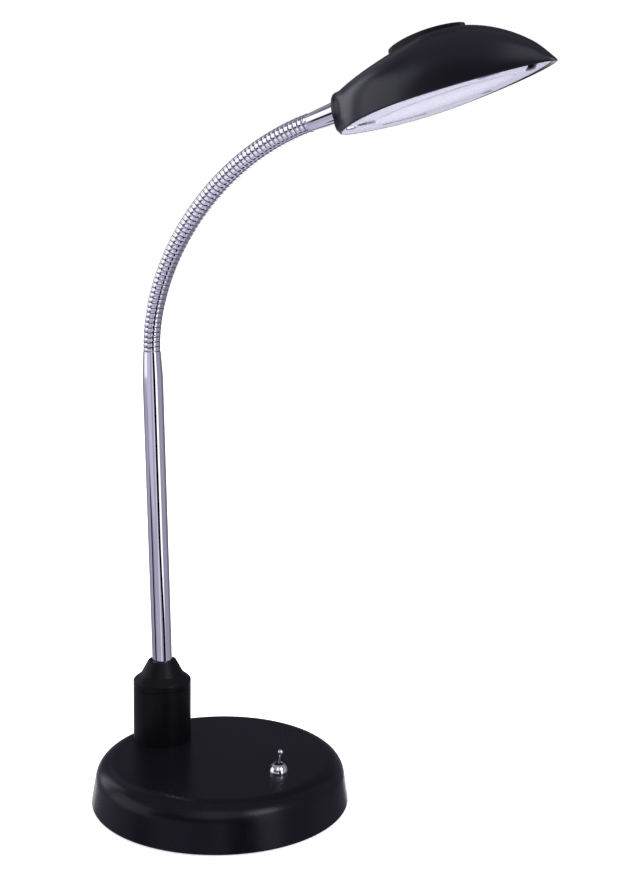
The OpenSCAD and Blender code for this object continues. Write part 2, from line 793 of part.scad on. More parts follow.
// Half width of the blunt oval round the ferrule, fading into the shade
function nose_half(u, w) = u > nose_blend_l ? 0
    : nose_w / 2 * sqrt(max(0, 1 - pow((w - nose_h * 0.53) / (nose_h * 0.5), 2))) * (1 - pow(max(0, u) / nose_blend_l, 2));
function skin_half(u, w) = let (
    dome = rim_half(u) * pow(max(0, 1 - pow(w / max(crown(u), 0.01), 2.1)), 1 / 2.1))
    max(skin_edge, pow(pow(dome, 4) + pow(nose_half(u, w), 4), 1 / 4));

shade_columns = 34;
tip_columns = 7;
shade_rows = 25;
tip_stop = 0.997;
hollow_to = 0.852 * shade_l;
// Distance of column i from the neck end, closer together there
function column(i, from, to) = from + (to - from) * (1 - cos(90 * i / shade_columns));
// Columns of the outer skin go on past the hollow, closer together at the tip
body_to = hollow_to + 1.5;
function outer_column(i) = i <= shade_columns ? column(i, 0, body_to)
    : body_to + (shade_l * tip_stop - body_to) * sin(90 * (i - shade_columns) / tip_columns);
// Blunt face: the skin leans out over the chin by this much
function nose_lean(u, w) = nose_bulge * min(1, w / chin_h) * pow(max(0, 1 - u / nose_lean_l), 2);
function skin_point(u, row, inset) = let (
    a = 180 * row / shade_rows,
    hc = crown(u), hw = rim_half(u),
    n = norm([hc * cos(a), max(hw, nose_w / 2) * sin(a)]),
    w = hc * pow(sin(a), 2 / 2.1),
    side = cos(a) < 0 ? 1 : -1)
    [u - nose_lean(u, w),
     side * (skin_half(u, w) - inset * abs(hc * cos(a)) / n),
     max(0, w - inset * max(hw, nose_w / 2) * sin(a) / n)];

module shade_skin() {
    c = shade_columns;
    e = c + tip_columns;
    r = shade_rows;
    stride = r + 1;
    inner = (e + 1) * stride;
    outer_points = [for (i = [0:e]) for (j = [0:r]) skin_point(outer_column(i), j, 0)];
    inner_points = [for (i = [0:c]) for (j = [0:r])
        skin_point(column(i, boss_l, hollow_to), j, shade_wall)];
    polyhedron(
        points = concat(outer_points, inner_points),
        faces = concat(
            [for (i = [0:e - 1]) for (j = [0:r - 1]) each [
                [i * stride + j, i * stride + j + 1, (i + 1) * stride + j],
                [i * stride + j + 1, (i + 1) * stride + j + 1, (i + 1) * stride + j]]],
            [for (i = [0:c - 1]) for (j = [0:r - 1]) each [
                [inner + i * stride + j, inner + (i + 1) * stride + j, inner + i * stride + j + 1],
                [inner + i * stride + j + 1, inner + (i + 1) * stride + j, inner + (i + 1) * stride + j + 1]]],
            // rim between the two skins, both sides
            [for (i = [0:c - 1]) each [
                [i * stride, (i + 1) * stride, inner + (i + 1) * stride],
                [i * stride, inner + (i + 1) * stride, inner + i * stride],
                [(i + 1) * stride + r, i * stride + r, inner + i * stride + r],
                [(i + 1) * stride + r, inner + i * stride + r, inner + (i + 1) * stride + r]]],
            // blunt ends of the outer skin and of the hollow, in strips from side to side
            [for (j = [0:floor(r / 2) - 1]) each [
                [j, r - j, r - j - 1], [j, r - j - 1, j + 1]]],
            [for (j = [0:floor(r / 2) - 1]) let (o = inner) each [
                [o + j, o + r - j - 1, o + r - j], [o + j, o + j + 1, o + r - j - 1]]],
            [for (j = [0:floor(r / 2) - 1]) let (o = e * stride) each [
                [o + j, o + r - j - 1, o + r - j], [o + j, o + j + 1, o + r - j - 1]]],
            [for (j = [0:floor(r / 2) - 1]) let (o = inner + c * stride) each [
                [o + j, o + r - j, o + r - j - 1], [o + j, o + r - j - 1, o + j + 1]]],
            // rim at the neck end, at the end of the hollow and across the solid tip
            [[0, inner, inner + r], [0, inner + r, r],
             [c * stride, c * stride + r, inner + c * stride + r],
             [c * stride, inner + c * stride + r, inner + c * stride]],
            [for (i = [c:e - 1]) each [
                [i * stride, (i + 1) * stride, (i + 1) * stride + r],
                [i * stride, (i + 1) * stride + r, i * stride + r]]]));
}

// Oval of the top cap, grown or shrunk by margin
module cap_oval(margin) {
    a = top_cap_l / 2 + margin;
    b = top_cap_w / 2 + margin;
    translate([cap_at, 0]) polygon([for (t = [0:7.5:359]) [a * cos(t), b * sin(t)]]);
}

module head_shade() {
    color([0.03, 0.03, 0.035]) difference() {
        at_head() difference() {
            union() {
                shade_skin();
                // ledges that carry the heat sink
                for (u = [0.33, 0.65]) for (side = [-1, 1]) mirror([0, side < 0 ? 1 : 0, 0])
                    translate([u * shade_l - 2, board_w / 2 + 1, sink_z - 2])
                        cube([4, skin_half(u * shade_l, sink_z) - shade_wall / 2 - board_w / 2 - 1, 2]);
                // boss for the panel screw beside the ferrule
                translate([side_screw[0], side_screw[1], panel_top]) cylinder(r = side_boss_r, h = side_boss_h);
                translate([boss_l - 2, side_screw[1] - 1, panel_top]) cube([side_screw[0] - boss_l + 2, 2, side_boss_h]);
            }
            translate([0, 0, shade_h / 2]) linear_extrude(shade_h) cap_oval(cap_clear);
            // the panel's tongue lies in the solid tip, with its screw boss
            translate([0, 0, -over]) linear_extrude(panel_top + over)
                polygon(mouth_points(panel_edge - gap, hollow_to - 4, panel_to + gap, 10));
            translate([tip_screw_u, 0, -over]) cylinder(r = tip_boss_r + gap, h = panel_top + boss_drop + over);
            translate([tip_screw_u, 0, -over]) cylinder(r = panel_screw_r + fit, h = panel_top + boss_drop + 5 + over);
            translate([side_screw[0], side_screw[1], -over]) cylinder(r = panel_screw_r + fit, h = panel_top + 4.6 + over);
        }
        at_ferrule() {
            cylinder(r = spigot_r + fit, h = ferrule_l + boss_l + 12);
            translate([0, 0, ferrule_l - 1]) cylinder(r = ferrule_foot_d / 2 + 0.2, h = 1);
        }
    }
}

// Body of the cap's crowned top: a barrel with a long and a short radius
module cap_barrel(inset) {
    translate([cap_at, 0, shade_h + top_cap_rise - cap_crown_r]) rotate([90, 0, 0])
        rotate_extrude($fn = 96) translate([cap_crown_r - cap_side_r, 0]) circle(r = cap_side_r - inset);
}

cap_posts = [-12, 12];
cap_post_r = 2.6;
cap_screw_r = 1.25;
cap_screw_head_r = 2.2;
cap_screw_l = 8;
cap_skirt = 1.5;
module top_cap() {
    color([0.02, 0.02, 0.02]) at_head() {
        difference() {
            intersection() {
                translate([0, 0, shade_h * 0.82]) linear_extrude(shade_h / 2) cap_oval(0);
                cap_barrel(0);
            }
            intersection() {
                translate([0, 0, shade_h * 0.7]) linear_extrude(shade_h / 2) cap_oval(-cap_skirt);
                cap_barrel(cap_t);
            }
        }
        for (x = cap_posts) translate([cap_at + x, 0, 0]) difference() {
            translate([0, 0, sink_top]) cylinder(r = cap_post_r, h = shade_h + top_cap_rise - cap_t / 2 - sink_top);
            translate([0, 0, sink_top - over]) cylinder(r = cap_screw_r + fit, h = cap_screw_l + over);
        }
    }
}

module cap_screws() {
    color("silver") at_head() for (x = cap_posts) translate([cap_at + x, 0, sink_z + 0.05]) {
        cylinder(r = cap_screw_r, h = cap_screw_l);
        cylinder(r = cap_screw_head_r, h = 0.7);
    }
}

module heat_sink() {
    sink_l = board_l + 2;
    sink_w = board_w + 4;
    fin_t = 1.2;
    fin_y = [cap_post_r + 3, cap_post_r + 6];
    color("lightgray") at_head() translate([window_at, 0, sink_z]) difference() {
        union() {
            translate([-sink_l / 2, -sink_w / 2, 0]) cube([sink_l, sink_w, sink_t]);
            for (i = [0, 1]) for (side = [-1, 1]) translate([-sink_l * 0.45, side * fin_y[i] - fin_t / 2, sink_t - 0.01])
                cube([sink_l * 0.8, fin_t, fin_h * (i == 1 ? 0.62 : 1)]);
        }
        for (x = cap_posts) translate([cap_at + x - window_at, 0, -over]) {
            cylinder(r = cap_screw_r + fit, h = sink_t + 2 * over);
            cylinder(r = cap_screw_head_r + fit, h = 0.8 + over);
        }
    }
}

module led_board() {
    color("white") at_head() translate([window_at, 0, board_lift]) difference() {
        translate([-board_l / 2, -board_w / 2, 0]) cube([board_l, board_w, board_t]);
        for (x = cap_posts) translate([cap_at + x - window_at, 0, -over])
            cylinder(r = cap_post_r, h = board_t + 2 * over);
    }
}

module led_chips() {
    pitch = (board_l - 6) / led_columns;
    color("lightyellow") at_head() for (i = [0:led_columns - 1]) for (y = [-5, 5])
        translate([window_at - board_l / 2 + 3 + pitch * (i + 0.5) - 1.4, y - 1.75, board_lift - chip_t])
            cube([2.8, 3.5, chip_t]);
}

// Outline of the shade's mouth, moved inwards by inset
function mouth_points(inset, from, to, count) = let (
    us = [for (i = [0:count]) from + (to - from) * (0.5 - 0.5 * cos(180 * i / count))])
    concat([for (u = us) [u, -max(0.4, rim_half(u) - inset)]],
           [for (i = [count:-1:0]) [us[i], max(0.4, rim_half(us[i]) - inset)]]);

window_from = window_at - window_l / 2;
window_to = window_at + window_l / 2;
// Outline of the light window: a leaf with rounded ends
module window_outline(margin) {
    a = window_l / 2 + margin;
    b = window_w / 2 + margin;
    translate([window_at, 0]) polygon([for (t = [0:6:359])
        [a * cos(t), b * (abs(sin(t)) < 0.001 ? 0 : pow(abs(sin(t)), 0.9) * sign(sin(t)))]]);
}

// Slot in the panel from one point to the next, with square ends
module slot_cut(from, to, w) {
    d = unit(to - from);
    side = [-d[1], d[0]] * w / 2;
    polygon([from + side, from - side, to - side, to + side]);
}

module underside_panel() {
    color("lavender") at_head() translate([0, 0, panel_inset]) difference() {
        union() {
            linear_extrude(panel_t) difference() {
                polygon(mouth_points(panel_edge, boss_l + 1, panel_to, 20));
                // catch slots along the far edge and a release slot by the ferrule
                for (s = slots) slot_cut(s[0], s[1], s[2]);
            }
            // collar that the diffuser sits in
            linear_extrude(panel_t + 1.6) difference() {
                window_outline(1.2);
                window_outline(0);
            }
            translate([tip_screw_u, 0, 0]) cylinder(r = tip_boss_r, h = panel_t + boss_drop);
        }
        translate([0, 0, -over]) linear_extrude(panel_t + 2 * over) window_outline(-1);
        translate([0, 0, panel_t / 2]) linear_extrude(panel_t + 2 * over) window_outline(0);
        // screw seats
        translate([tip_screw_u, 0, -over]) cylinder(r = 2.4, h = panel_t + boss_drop - 0.8 + over);
        translate([tip_screw_u, 0, -over]) cylinder(r = panel_screw_r + 0.2, h = panel_t + boss_drop + 2 * over);
        translate([side_screw[0], side_screw[1], -over]) cylinder(r = panel_screw_r + 0.2, h = panel_t + 2 * over);
    }
}

panel_screw_h = 0.7;
module panel_screws() {
    color("silver") at_head() {
        translate([tip_screw_u, 0, panel_top + boss_drop - 0.8 - panel_screw_h]) {
            cylinder(r = panel_screw_r, h = panel_screw_l);
            cylinder(r = 2.1, h = panel_screw_h);
        }
        translate([side_screw[0], side_screw[1], panel_inset - panel_screw_h]) {
            cylinder(r = panel_screw_r, h = panel_t + panel_screw_h + 4);
            cylinder(r = 1.8, h = panel_screw_h);
        }
    }
}

// Body of the diffuser's dome: a barrel that is long along the head and round across it
module dome_barrel(inset) {
    long_r = 420;
    side_r = 40;
    translate([window_at, 0, long_r - dome_drop]) rotate([90, 0, 0])
        rotate_extrude($fn = 360) translate([long_r - side_r, 0]) circle(r = side_r - inset, $fn = 128);
}

// Diffuser: a domed shell of frosted plastic that drops through the window, held by its flange
dome_drop = 1.4;
module diffuser() {
    color([0.95, 0.95, 1]) at_head() difference() {
        union() {
            translate([0, 0, panel_inset + panel_t / 2]) linear_extrude(0.8) window_outline(-cap_clear);
            intersection() {
                translate([0, 0, -3]) linear_extrude(panel_inset + panel_t / 2 + 3.4) window_outline(-1 - cap_clear);
                dome_barrel(0);
            }
        }
        intersection() {
            translate([0, 0, -3]) linear_extrude(12) window_outline(-1 - cap_clear - diffuser_t);
            dome_barrel(diffuser_t);
        }
    }
}

module head_ferrule() {
    foot_r1 = ferrule_foot_d / 2;
    tip_r = ferrule_tip_d / 2;
    color("gainsboro") at_ferrule() rotate_extrude() polygon([
        [tip_r - 1.1, 0.1], [neck_r - 0.25, 0.1], [neck_r - 0.1, 0.25], [neck_r - 0.1, 0.9], [neck_r - 0.4, 1.2],
        [tip_r, 1.3], [foot_r1, ferrule_l], [spigot_r, ferrule_l], [spigot_r, ferrule_l + boss_l + spigot_nut_t + 2],
        [wire_bore_r, ferrule_l + boss_l + spigot_nut_t + 2], [wire_bore_r, ferrule_socket_l], [tip_r - 1.1, ferrule_socket_l]]);
}

module ferrule_nut() {
    color("silver") at_ferrule() translate([0, 0, nose_set + boss_l + 0.2])
        hex_nut(spigot_r + 2.2, spigot_r + fit, spigot_nut_t);
}

// Point at distance s up the ferrule's axis, in the head's frame
function up_ferrule(s) = [-nose_set + s * cos(shade_droop), 0, neck_entry_h + s * sin(shade_droop)];
module head_lead() {
    from = window_at - board_l / 2;
    color("ivory") at_head() lead([
        up_ferrule(0.2 - stub_l), up_ferrule(ferrule_socket_l), up_ferrule(ferrule_l + boss_l + spigot_nut_t + 2.6),
        [from - 9, 0, neck_entry_h - 0.2], [from - 6.5, 0, board_lift + 0.8], [from - 4, 0, board_lift - 0.3],
        [from, 0, board_lift - 0.3]], stem_lead_r);
}

// ---- Drawing ----

foot_pad();
base_plate();
base_weight();
base_cover();
cover_screws();
weight_screws();
switch_body();
switch_terminals();
switch_bushing();
switch_inner_nut();
switch_washer();
switch_dome_nut();
switch_lever();
inlet_body();
inlet_pin();
inlet_nut();
driver_board();
driver_parts();
supply_lead();
switch_lead();
stem_lead();
post_sleeve();
post_cap();
post_bush();
post_washer();
post_nut();
bush_grub_screw();
stem_tube();
neck_root();
for (k = [1:link_count])
    neck_link(k);
neck_tip();
neck_lead();
head_ferrule();
ferrule_nut();
head_shade();
top_cap();
cap_screws();
heat_sink();
led_board();
led_chips();
head_lead();
underside_panel();
diffuser();
panel_screws();
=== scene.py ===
"""Gooseneck desk lamp: a weighted round base with a toggle switch, a chrome stem, a wound neck
that bends, and a mussel-shaped LED head. Metres, +Z up; the neck reaches towards +X."""

import math

import bpy
import numpy as np
from mathutils import Matrix


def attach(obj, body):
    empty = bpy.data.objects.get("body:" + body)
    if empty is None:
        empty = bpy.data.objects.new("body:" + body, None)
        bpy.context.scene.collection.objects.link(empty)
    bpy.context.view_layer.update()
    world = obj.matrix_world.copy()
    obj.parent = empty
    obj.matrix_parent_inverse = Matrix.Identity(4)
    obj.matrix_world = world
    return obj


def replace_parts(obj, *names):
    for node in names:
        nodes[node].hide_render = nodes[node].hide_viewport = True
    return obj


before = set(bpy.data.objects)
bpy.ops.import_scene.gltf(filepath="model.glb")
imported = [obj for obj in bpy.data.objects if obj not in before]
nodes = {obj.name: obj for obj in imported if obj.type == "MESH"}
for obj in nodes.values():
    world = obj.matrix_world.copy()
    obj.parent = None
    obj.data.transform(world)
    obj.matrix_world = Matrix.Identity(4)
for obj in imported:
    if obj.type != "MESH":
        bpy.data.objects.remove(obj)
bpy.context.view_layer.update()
scene = bpy.context.scene

# ---- Camera ----
# The camera stands in front of the lamp and to its right, at about three quarters of its
# height, and looks down a little. Its lens is a long normal one: 1250 pixels for a picture
# 619 wide and 874 high.
MM = 0.001
picture_h = 874
lens_px = 1250
sensor = 36
eye = np.array([434.82, -549.14, 312.83]) * MM
yaw, pitch, roll = 0.599765, 0.139177, 0.015152
forward = np.array([-math.sin(yaw) * math.cos(pitch), math.cos(yaw) * math.cos(pitch),
                    -math.sin(pitch)])
level = np.array([math.cos(yaw), math.sin(yaw), 0])
upright = np.cross(level, forward)
right = level * math.cos(roll) + upright * math.sin(roll)
up = upright * math.cos(roll) - level * math.sin(roll)


def aimed(side, over, back, place):
    """Matrix of a camera or a light from its three axes and its place. It points away from back."""
    return Matrix([(side[i], over[i], back[i], place[i]) for i in range(3)] + [(0, 0, 0, 1)])


lens = bpy.data.cameras.new("camera")
lens.sensor_fit = "VERTICAL"
lens.sensor_width = lens.sensor_height = sensor
lens.lens = sensor * lens_px / picture_h
camera = bpy.data.objects.new("camera", lens)
camera.matrix_world = aimed(right, up, -forward, eye)
scene.collection.objects.link(camera)
scene.camera = camera


# ---- Studio ----
# A room for small shiny things: soft boxes on the left, on the right and over the camera, a
# black flag, lavender-grey walls and a pale floor. The walls and boxes are a function of
# direction, so that chrome mirrors them cleanly.
class Wire:
    """One value in a node tree. Sums, differences, products and quotients add Math nodes."""

    def __init__(self, socket):
        self.socket = socket

    def node(self, kind, settings=None, values=None, out=0):
        """Adds a node: its settings first, then its sockets' values or links, by name or number."""
        tree = self.socket.id_data
        made = tree.nodes.new(kind)
        for key, value in (settings or {}).items():
            setattr(made, key, value)
        for key, value in (values or {}).items():
            if isinstance(value, Wire):
                tree.links.new(value.socket, made.inputs[key])
            else:
                made.inputs[key].default_value = value
        return Wire(made.outputs[out])

    def math(self, operation, other=None, swapped=False):
        """Math node on this value alone, or on it and another; swapped puts the other first."""
        values = [self] if other is None else [other, self] if swapped else [self, other]
        return self.node("ShaderNodeMath", {"operation": operation}, dict(enumerate(values)))

    def __add__(self, other):
        return self.math("ADD", other)

    def __sub__(self, other):
        return self.math("SUBTRACT", other)

    def __rsub__(self, other):
        return self.math("SUBTRACT", other, swapped=True)

    def __mul__(self, other):
        return self.math("MULTIPLY", other)

    def __truediv__(self, other):
        return self.math("DIVIDE", other)

    __radd__ = __add__
    __rmul__ = __mul__

    def fade(self, start, end):
        """0 at start and 1 at end, smooth between; start may be the larger one."""
        return self.node("ShaderNodeMapRange", {"interpolation_type": "SMOOTHSTEP"},
                         {"Value": self, "From Min": start, "From Max": end})

    def blend(self, first, second):
        """Colour that goes from first to second as the wire goes from 0 to 1."""
        return self.node("ShaderNodeMix", {"data_type": "RGBA"}, {0: self, 6: first, 7: second}, out=2)

    def axes(self):
        """The x, y and z of a vector."""
        return [Wire(s) for s in self.node("ShaderNodeSeparateXYZ", None, {0: self}).socket.node.outputs]


world = bpy.data.worlds.new("studio")
scene.world = world
world.use_nodes = True
room = world.node_tree
room.nodes.clear()
toward = Wire(room.nodes.new("ShaderNodeTexCoord").outputs["Generated"])
east, north, height = toward.axes()
elevation = height.math("ARCSINE") * math.degrees(1)
sideways = (east * east + north * north + 1e-6).math("SQRT")
bearing = north.math("ARCTAN2", east) * math.degrees(1)


def wall(azimuth, half, soft):
    """1 within half degrees of an azimuth, 0 beyond half + soft: the angle is the arc cosine of
    the dot product of the two level directions."""
    a = math.radians(azimuth)
    dot = (east * math.cos(a) + north * math.sin(a)) / sideways
    off = (dot * 0.99999).math("ARCCOSINE") * math.degrees(1)
    return off.fade(half + soft, half)


def band(low, high, soft):
    """1 between two elevations, and 0 beyond soft degrees outside them."""
    return elevation.fade(low - soft, low) * elevation.fade(high + soft, high)


def hung(glow, mask, tone):
    """The room's glow with a panel of that tone hung where the mask is 1."""
    return glow * (1 - mask) + mask * tone


# azimuth, half width and its soft edge; lowest and highest elevation and their soft edge; tone
panels = [
    (128, 44, 14, 0, 62, 6, 0.11),           # unlit back of the room
    (75, 24, 12, -20, 10, 6, 0.18),          # right wall, far part
    (28, 24, 12, -20, 12, 6, 0.36),          # right wall, near part
    (-174, 14, 10, -24, 2, 5, 0.28),         # left wall, low part
    (-148, 18, 8, -14, 0, 4, 0.40),          # left wall, beside the box
    (70, 52, 16, -62, -22, 6, 0.24),         # table in shade on the right
    (-99, 17, 6, -48, -22, 5, 0.95),         # white card on the table
    (131, 25, 5, -26, -17, 4, 1.40),         # bright strip behind the table
    (112, 4, 4, -33, -20, 4, 2.80),          # bright end of that strip
    (120, 20, 5, -42, -34, 2, 0.02),         # edge of the table
    (-72, 26, 8, -20, 4, 5, 0.44),           # front wall
    (-98, 18, 6, -8, 4, 3, 0.62),            # lighter top of the front wall
    (-50, 5, 3, -22, 6, 5, 0.78),            # white strip beside the flag
    (-88, 26, 10, 9, 30, 4, 0.10),           # dark over the front wall
    (-140, 20, 6, 0, 30, 6, 1.25),           # large soft box on the left
    (177, 6, 4, 4, 31, 8, 1.70),             # tall soft box, far left
    (160, 11, 5, 26, 46, 5, 0.35),           # its upper part
    (-157, 8, 4, 33, 45, 3, 0.12),           # gap over the left box
    (-60, 17, 10, 34, 62, 8, 1.15),          # soft box over the camera
    (-12, 10, 3, -24, 30, 6, 1.45),          # tall narrow soft box on the right
    (-7, 12, 4, 34, 50, 4, 6.00),            # strong small soft box above it
    (-122, 7, 3, -21, -10, 3, 0.0),          # gap between the left box and the front wall
]
# elsewhere the room is grey, paler on the table and palest straight below
glow = 0.30 + 0.20 * elevation.fade(-22, -30) + 0.15 * elevation.fade(-50, -70)
for azimuth, half, soft, low, high, edge, tone in panels:
    glow = hung(glow, wall(azimuth, half, soft) * band(low, high, edge), tone)
# the flag's middle steps sideways twice on its way down
flag_at = -33 + 18 * elevation.fade(-8, -13) - 22 * elevation.fade(-14.5, -17)
flag = (bearing - flag_at).math("ABSOLUTE").fade(14.5, 10.5) * band(-46, 30, 4)
glow = hung(glow, flag, 0.0)
tint = glow.fade(0.55, 1.1).blend((0.98, 0.94, 1.22, 1), (0.97, 0.98, 1.05, 1))
# the camera sees white behind the lamp, and everything else sees the room
seen = toward.node("ShaderNodeBackground", None, {"Color": (1, 1, 1, 1), "Strength": 1})
lit = toward.node("ShaderNodeBackground", None, {"Color": tint, "Strength": glow})
camera_ray = toward.node("ShaderNodeLightPath")
sky = toward.node("ShaderNodeMixShader", None, {0: camera_ray, 1: lit, 2: seen})
room.links.new(sky.socket, room.nodes.new("ShaderNodeOutputWorld").inputs["Surface"])
scene.view_settings.view_transform = "Standard"

# one large soft light hangs from the ceiling, aimed at the lamp's foot; nothing mirrors it
ceiling_at = np.array([0.1, -0.2, 1.9])
ceiling = bpy.data.lights.new("ceiling_light", "AREA")
ceiling.size, ceiling.energy = 1.8, 40
ceiling_light = bpy.data.objects.new("ceiling_light", ceiling)
ceiling_back = ceiling_at / np.linalg.norm(ceiling_at)
ceiling_side = np.cross((0, 1, 0), ceiling_back)
ceiling_side /= np.linalg.norm(ceiling_side)
ceiling_over = np.cross(ceiling_back, ceiling_side)
ceiling_light.matrix_world = aimed(ceiling_side, ceiling_over, ceiling_back, ceiling_at)
ceiling_light.visible_camera = ceiling_light.visible_glossy = False
scene.collection.objects.link(ceiling_light)


def material(name, fixed, paint):
    """Principled material: fixed numbers go on the shader's own sockets, and paint gives the
    wires that vary over the surface, from the Object coordinates in metres."""
    made = bpy.data.materials.new(name)
    made.use_nodes = True
    tree = made.node_tree
    shader = tree.nodes["Principled BSDF"]
    for socket, value in fixed.items():
        shader.inputs[socket].default_value = value
    where = Wire(tree.nodes.new("ShaderNodeTexCoord").outputs["Object"])
    for socket, wire in paint(where).items():
        tree.links.new(wire.socket, shader.inputs[socket])
    return made


def noise(where, size, detail=2.0):
    """Cloudy noise from 0 to 1 whose blots are about size metres across."""
    return where.node("ShaderNodeTexNoise", None, {"Vector": where, "Scale": 1 / size, "Detail": detail})


def bumps(height_wire, depth):
    """Normal of a surface raised by the wire times depth, in metres."""
    return height_wire.node("ShaderNodeBump", None,
                            {"Height": height_wire, "Distance": depth, "Strength": 1})


floor_r = 6.0
floor_mesh = bpy.data.meshes.new("floor")
floor_mesh.from_pydata([(x * floor_r, y * floor_r, 0) for x, y in ((-1, -1), (1, -1), (1, 1), (-1, 1))],
                       [], [(0, 1, 2, 3)])
floor = bpy.data.objects.new("floor", floor_mesh)
scene.collection.objects.link(floor)
floor_mesh.materials.append(material(
    "pale_floor", {"Roughness": 0.9, "Specular IOR Level": 0.0, "Emission Strength": 1.0},
    lambda where: {
        "Base Color": noise(where, 0.4).blend((0.86, 0.85, 0.88, 1), (0.9, 0.89, 0.92, 1)),
        "Emission Color": where.node("ShaderNodeVectorMath", {"operation": "LENGTH"}, {0: where}, out=1)
        .fade(0.1, 0.3).blend((0.74, 0.73, 0.78, 1), (1, 1, 1, 1)),
    }))
floor.visible_glossy = floor.visible_diffuse = False


# ---- Foot, plate and weight ----
# The lamp stands on a ring-cut foam pad glued under a black painted steel plate. A cast iron
# disc, held by three countersunk screws, keeps it upright under the reach of its neck.
def painted(finish, *names):
    """Shows those CAD pieces in that finish."""
    for name in names:
        data = nodes[name].data
        data.materials.clear()
        data.materials.append(finish)


foam = material("foam", {"Specular IOR Level": 0.2}, lambda where: {
    "Base Color": noise(where, 0.0008).blend((0.03, 0.03, 0.032, 1), (0.075, 0.075, 0.08, 1)),
    "Roughness": 0.75 + 0.2 * noise(where, 0.0012),
    "Normal": bumps(noise(where, 0.0006, 4), 0.0002)})
paint_black = material("black_paint", {}, lambda where: {
    "Base Color": noise(where, 0.02).blend((0.022, 0.022, 0.024, 1), (0.035, 0.035, 0.037, 1)),
    "Roughness": 0.32 + 0.15 * noise(where, 0.006),
    "Normal": bumps(noise(where, 0.0009), 0.00002)})
cast_iron = material("cast_iron", {"Metallic": 0.9}, lambda where: {
    "Base Color": noise(where, 0.006, 5).blend((0.11, 0.11, 0.115, 1), (0.27, 0.265, 0.26, 1)),
    "Roughness": 0.5 + 0.3 * noise(where, 0.003, 4),
    "Normal": bumps(noise(where, 0.0016, 5), 0.00022)})
zinc = material("zinc_plate", {"Metallic": 1.0}, lambda where: {
    "Base Color": noise(where, 0.002, 3).blend((0.5, 0.51, 0.53, 1), (0.7, 0.7, 0.68, 1)),
    "Roughness": 0.24 + 0.2 * noise(where, 0.0012, 3),
    "Normal": bumps(noise(where, 0.0004), 0.00001)})
painted(foam, "foot_pad")
painted(paint_black, "base_plate")
painted(cast_iron, "base_weight")
painted(zinc, "cover_screws", "weight_screws")


# ---- Base cover ----
# The cover is one round moulding in satin black plastic, 150 mm across its foot, with a
# drafted side, a generous rounded shoulder and a level top. It drops over the weight and
# four self-tapping screws hold it from below. A flat is moulded into its back for the inlet.
def surface(name, points, quads, finish, body, sharp=38, shade=None):
    """Mesh from a grid: each quad is cut in two, points that coincide are made one, triangles
    that this closes up are left out, and a shell with a negative volume is turned round. Points
    are in millimetres. Edges sharper than the angle stay sharp. shade, one number a point, is
    kept as the attribute that the finish reads."""
    own, first, index = np.unique(np.round(points, 5) + 0.0, axis=0, return_index=True, return_inverse=True)
    tris = index.ravel()[np.concatenate([quads[:, [0, 1, 2]], quads[:, [0, 2, 3]]])]
    tris = tris[(tris[:, 0] != tris[:, 1]) & (tris[:, 1] != tris[:, 2]) & (tris[:, 2] != tris[:, 0])]
    corner = own[tris]
    if np.sum(np.cross(corner[:, 0], corner[:, 1]) * corner[:, 2]) < 0:
        tris = tris[:, ::-1]
    mesh = bpy.data.meshes.new(name)
    mesh.vertices.add(len(own))
    mesh.vertices.foreach_set("co", (own * MM).astype(np.float32).ravel())
    mesh.loops.add(tris.size)
    mesh.loops.foreach_set("vertex_index", tris.astype(np.int32).ravel())
    mesh.polygons.add(len(tris))
    mesh.polygons.foreach_set("loop_start", np.arange(0, tris.size, 3, dtype=np.int32))
    mesh.update(calc_edges=True)
    mesh.shade_smooth()
    mesh.set_sharp_from_angle(angle=math.radians(sharp))
    mesh.materials.append(finish)
    if shade is not None:
        kept = mesh.attributes.new("shade", "FLOAT", "POINT")
        kept.data.foreach_set("value", np.asarray(shade, np.float32).ravel()[first])
    piece = bpy.data.objects.new(name, mesh)
    scene.collection.objects.link(piece)
    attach(piece, body)
    return piece


def rounded(outline, steps=7):
    """Outline of corners (r, z, radius): a corner with a radius becomes an arc tangent to both
    its sides, which starts radius / tan(half the inner angle) away from the corner and has about
    steps points to a quarter turn."""
    quarter_turn = 1.57
    points = []
    for i, (r, z, radius) in enumerate(outline):
        here = np.array([r, z], float)
        if radius == 0:
            points.append(here)
            continue
        to_last = np.array(outline[i - 1][:2]) - here
        to_next = np.array(outline[(i + 1) % len(outline)][:2]) - here
        to_last /= np.linalg.norm(to_last)
        to_next /= np.linalg.norm(to_next)
        half = math.acos(np.clip(to_last @ to_next, -1, 1)) / 2
        inward = (to_last + to_next) / np.linalg.norm(to_last + to_next)
        centre = here + inward * radius / math.sin(half)
        start = here + to_last * radius / math.tan(half) - centre
        sweep = math.pi - 2 * half
        if start[0] * to_last[1] - start[1] * to_last[0] > 0:
            sweep = -sweep
        turn = np.linspace(0, sweep, max(2, int(steps * abs(sweep) / quarter_turn) + 2))
        points.extend(centre + np.stack([start[0] * np.cos(turn) - start[1] * np.sin(turn),
                                         start[0] * np.sin(turn) + start[1] * np.cos(turn)], 1))
    return np.array(points)


def wrapped(rows, columns, close_rows):
    """Quads of a grid whose last column joins its first, and whose last row may join its first."""
    i, j = np.meshgrid(np.arange(rows if close_rows else rows - 1), np.arange(columns), indexing="ij")
    k, m = (i + 1) % rows, (j + 1) % columns
    return np.stack([i * columns + j, i * columns + m, k * columns + m, k * columns + j], -1).reshape(-1, 4)


def round_points(ring, angles):
    """Outline points (r, z) carried round the axis: (r cos a, r sin a, z)."""
    r, z = ring[:, :1], ring[:, 1:]
    return np.stack([r * np.cos(angles), r * np.sin(angles), z + 0 * angles], -1).reshape(-1, 3)


def placed(points, origin, axis, degrees):
    """Points turned about an axis by an angle and moved to an origin, in millimetres."""
    return points @ np.array(Matrix.Rotation(math.radians(degrees), 3, axis)).T + np.array(origin)


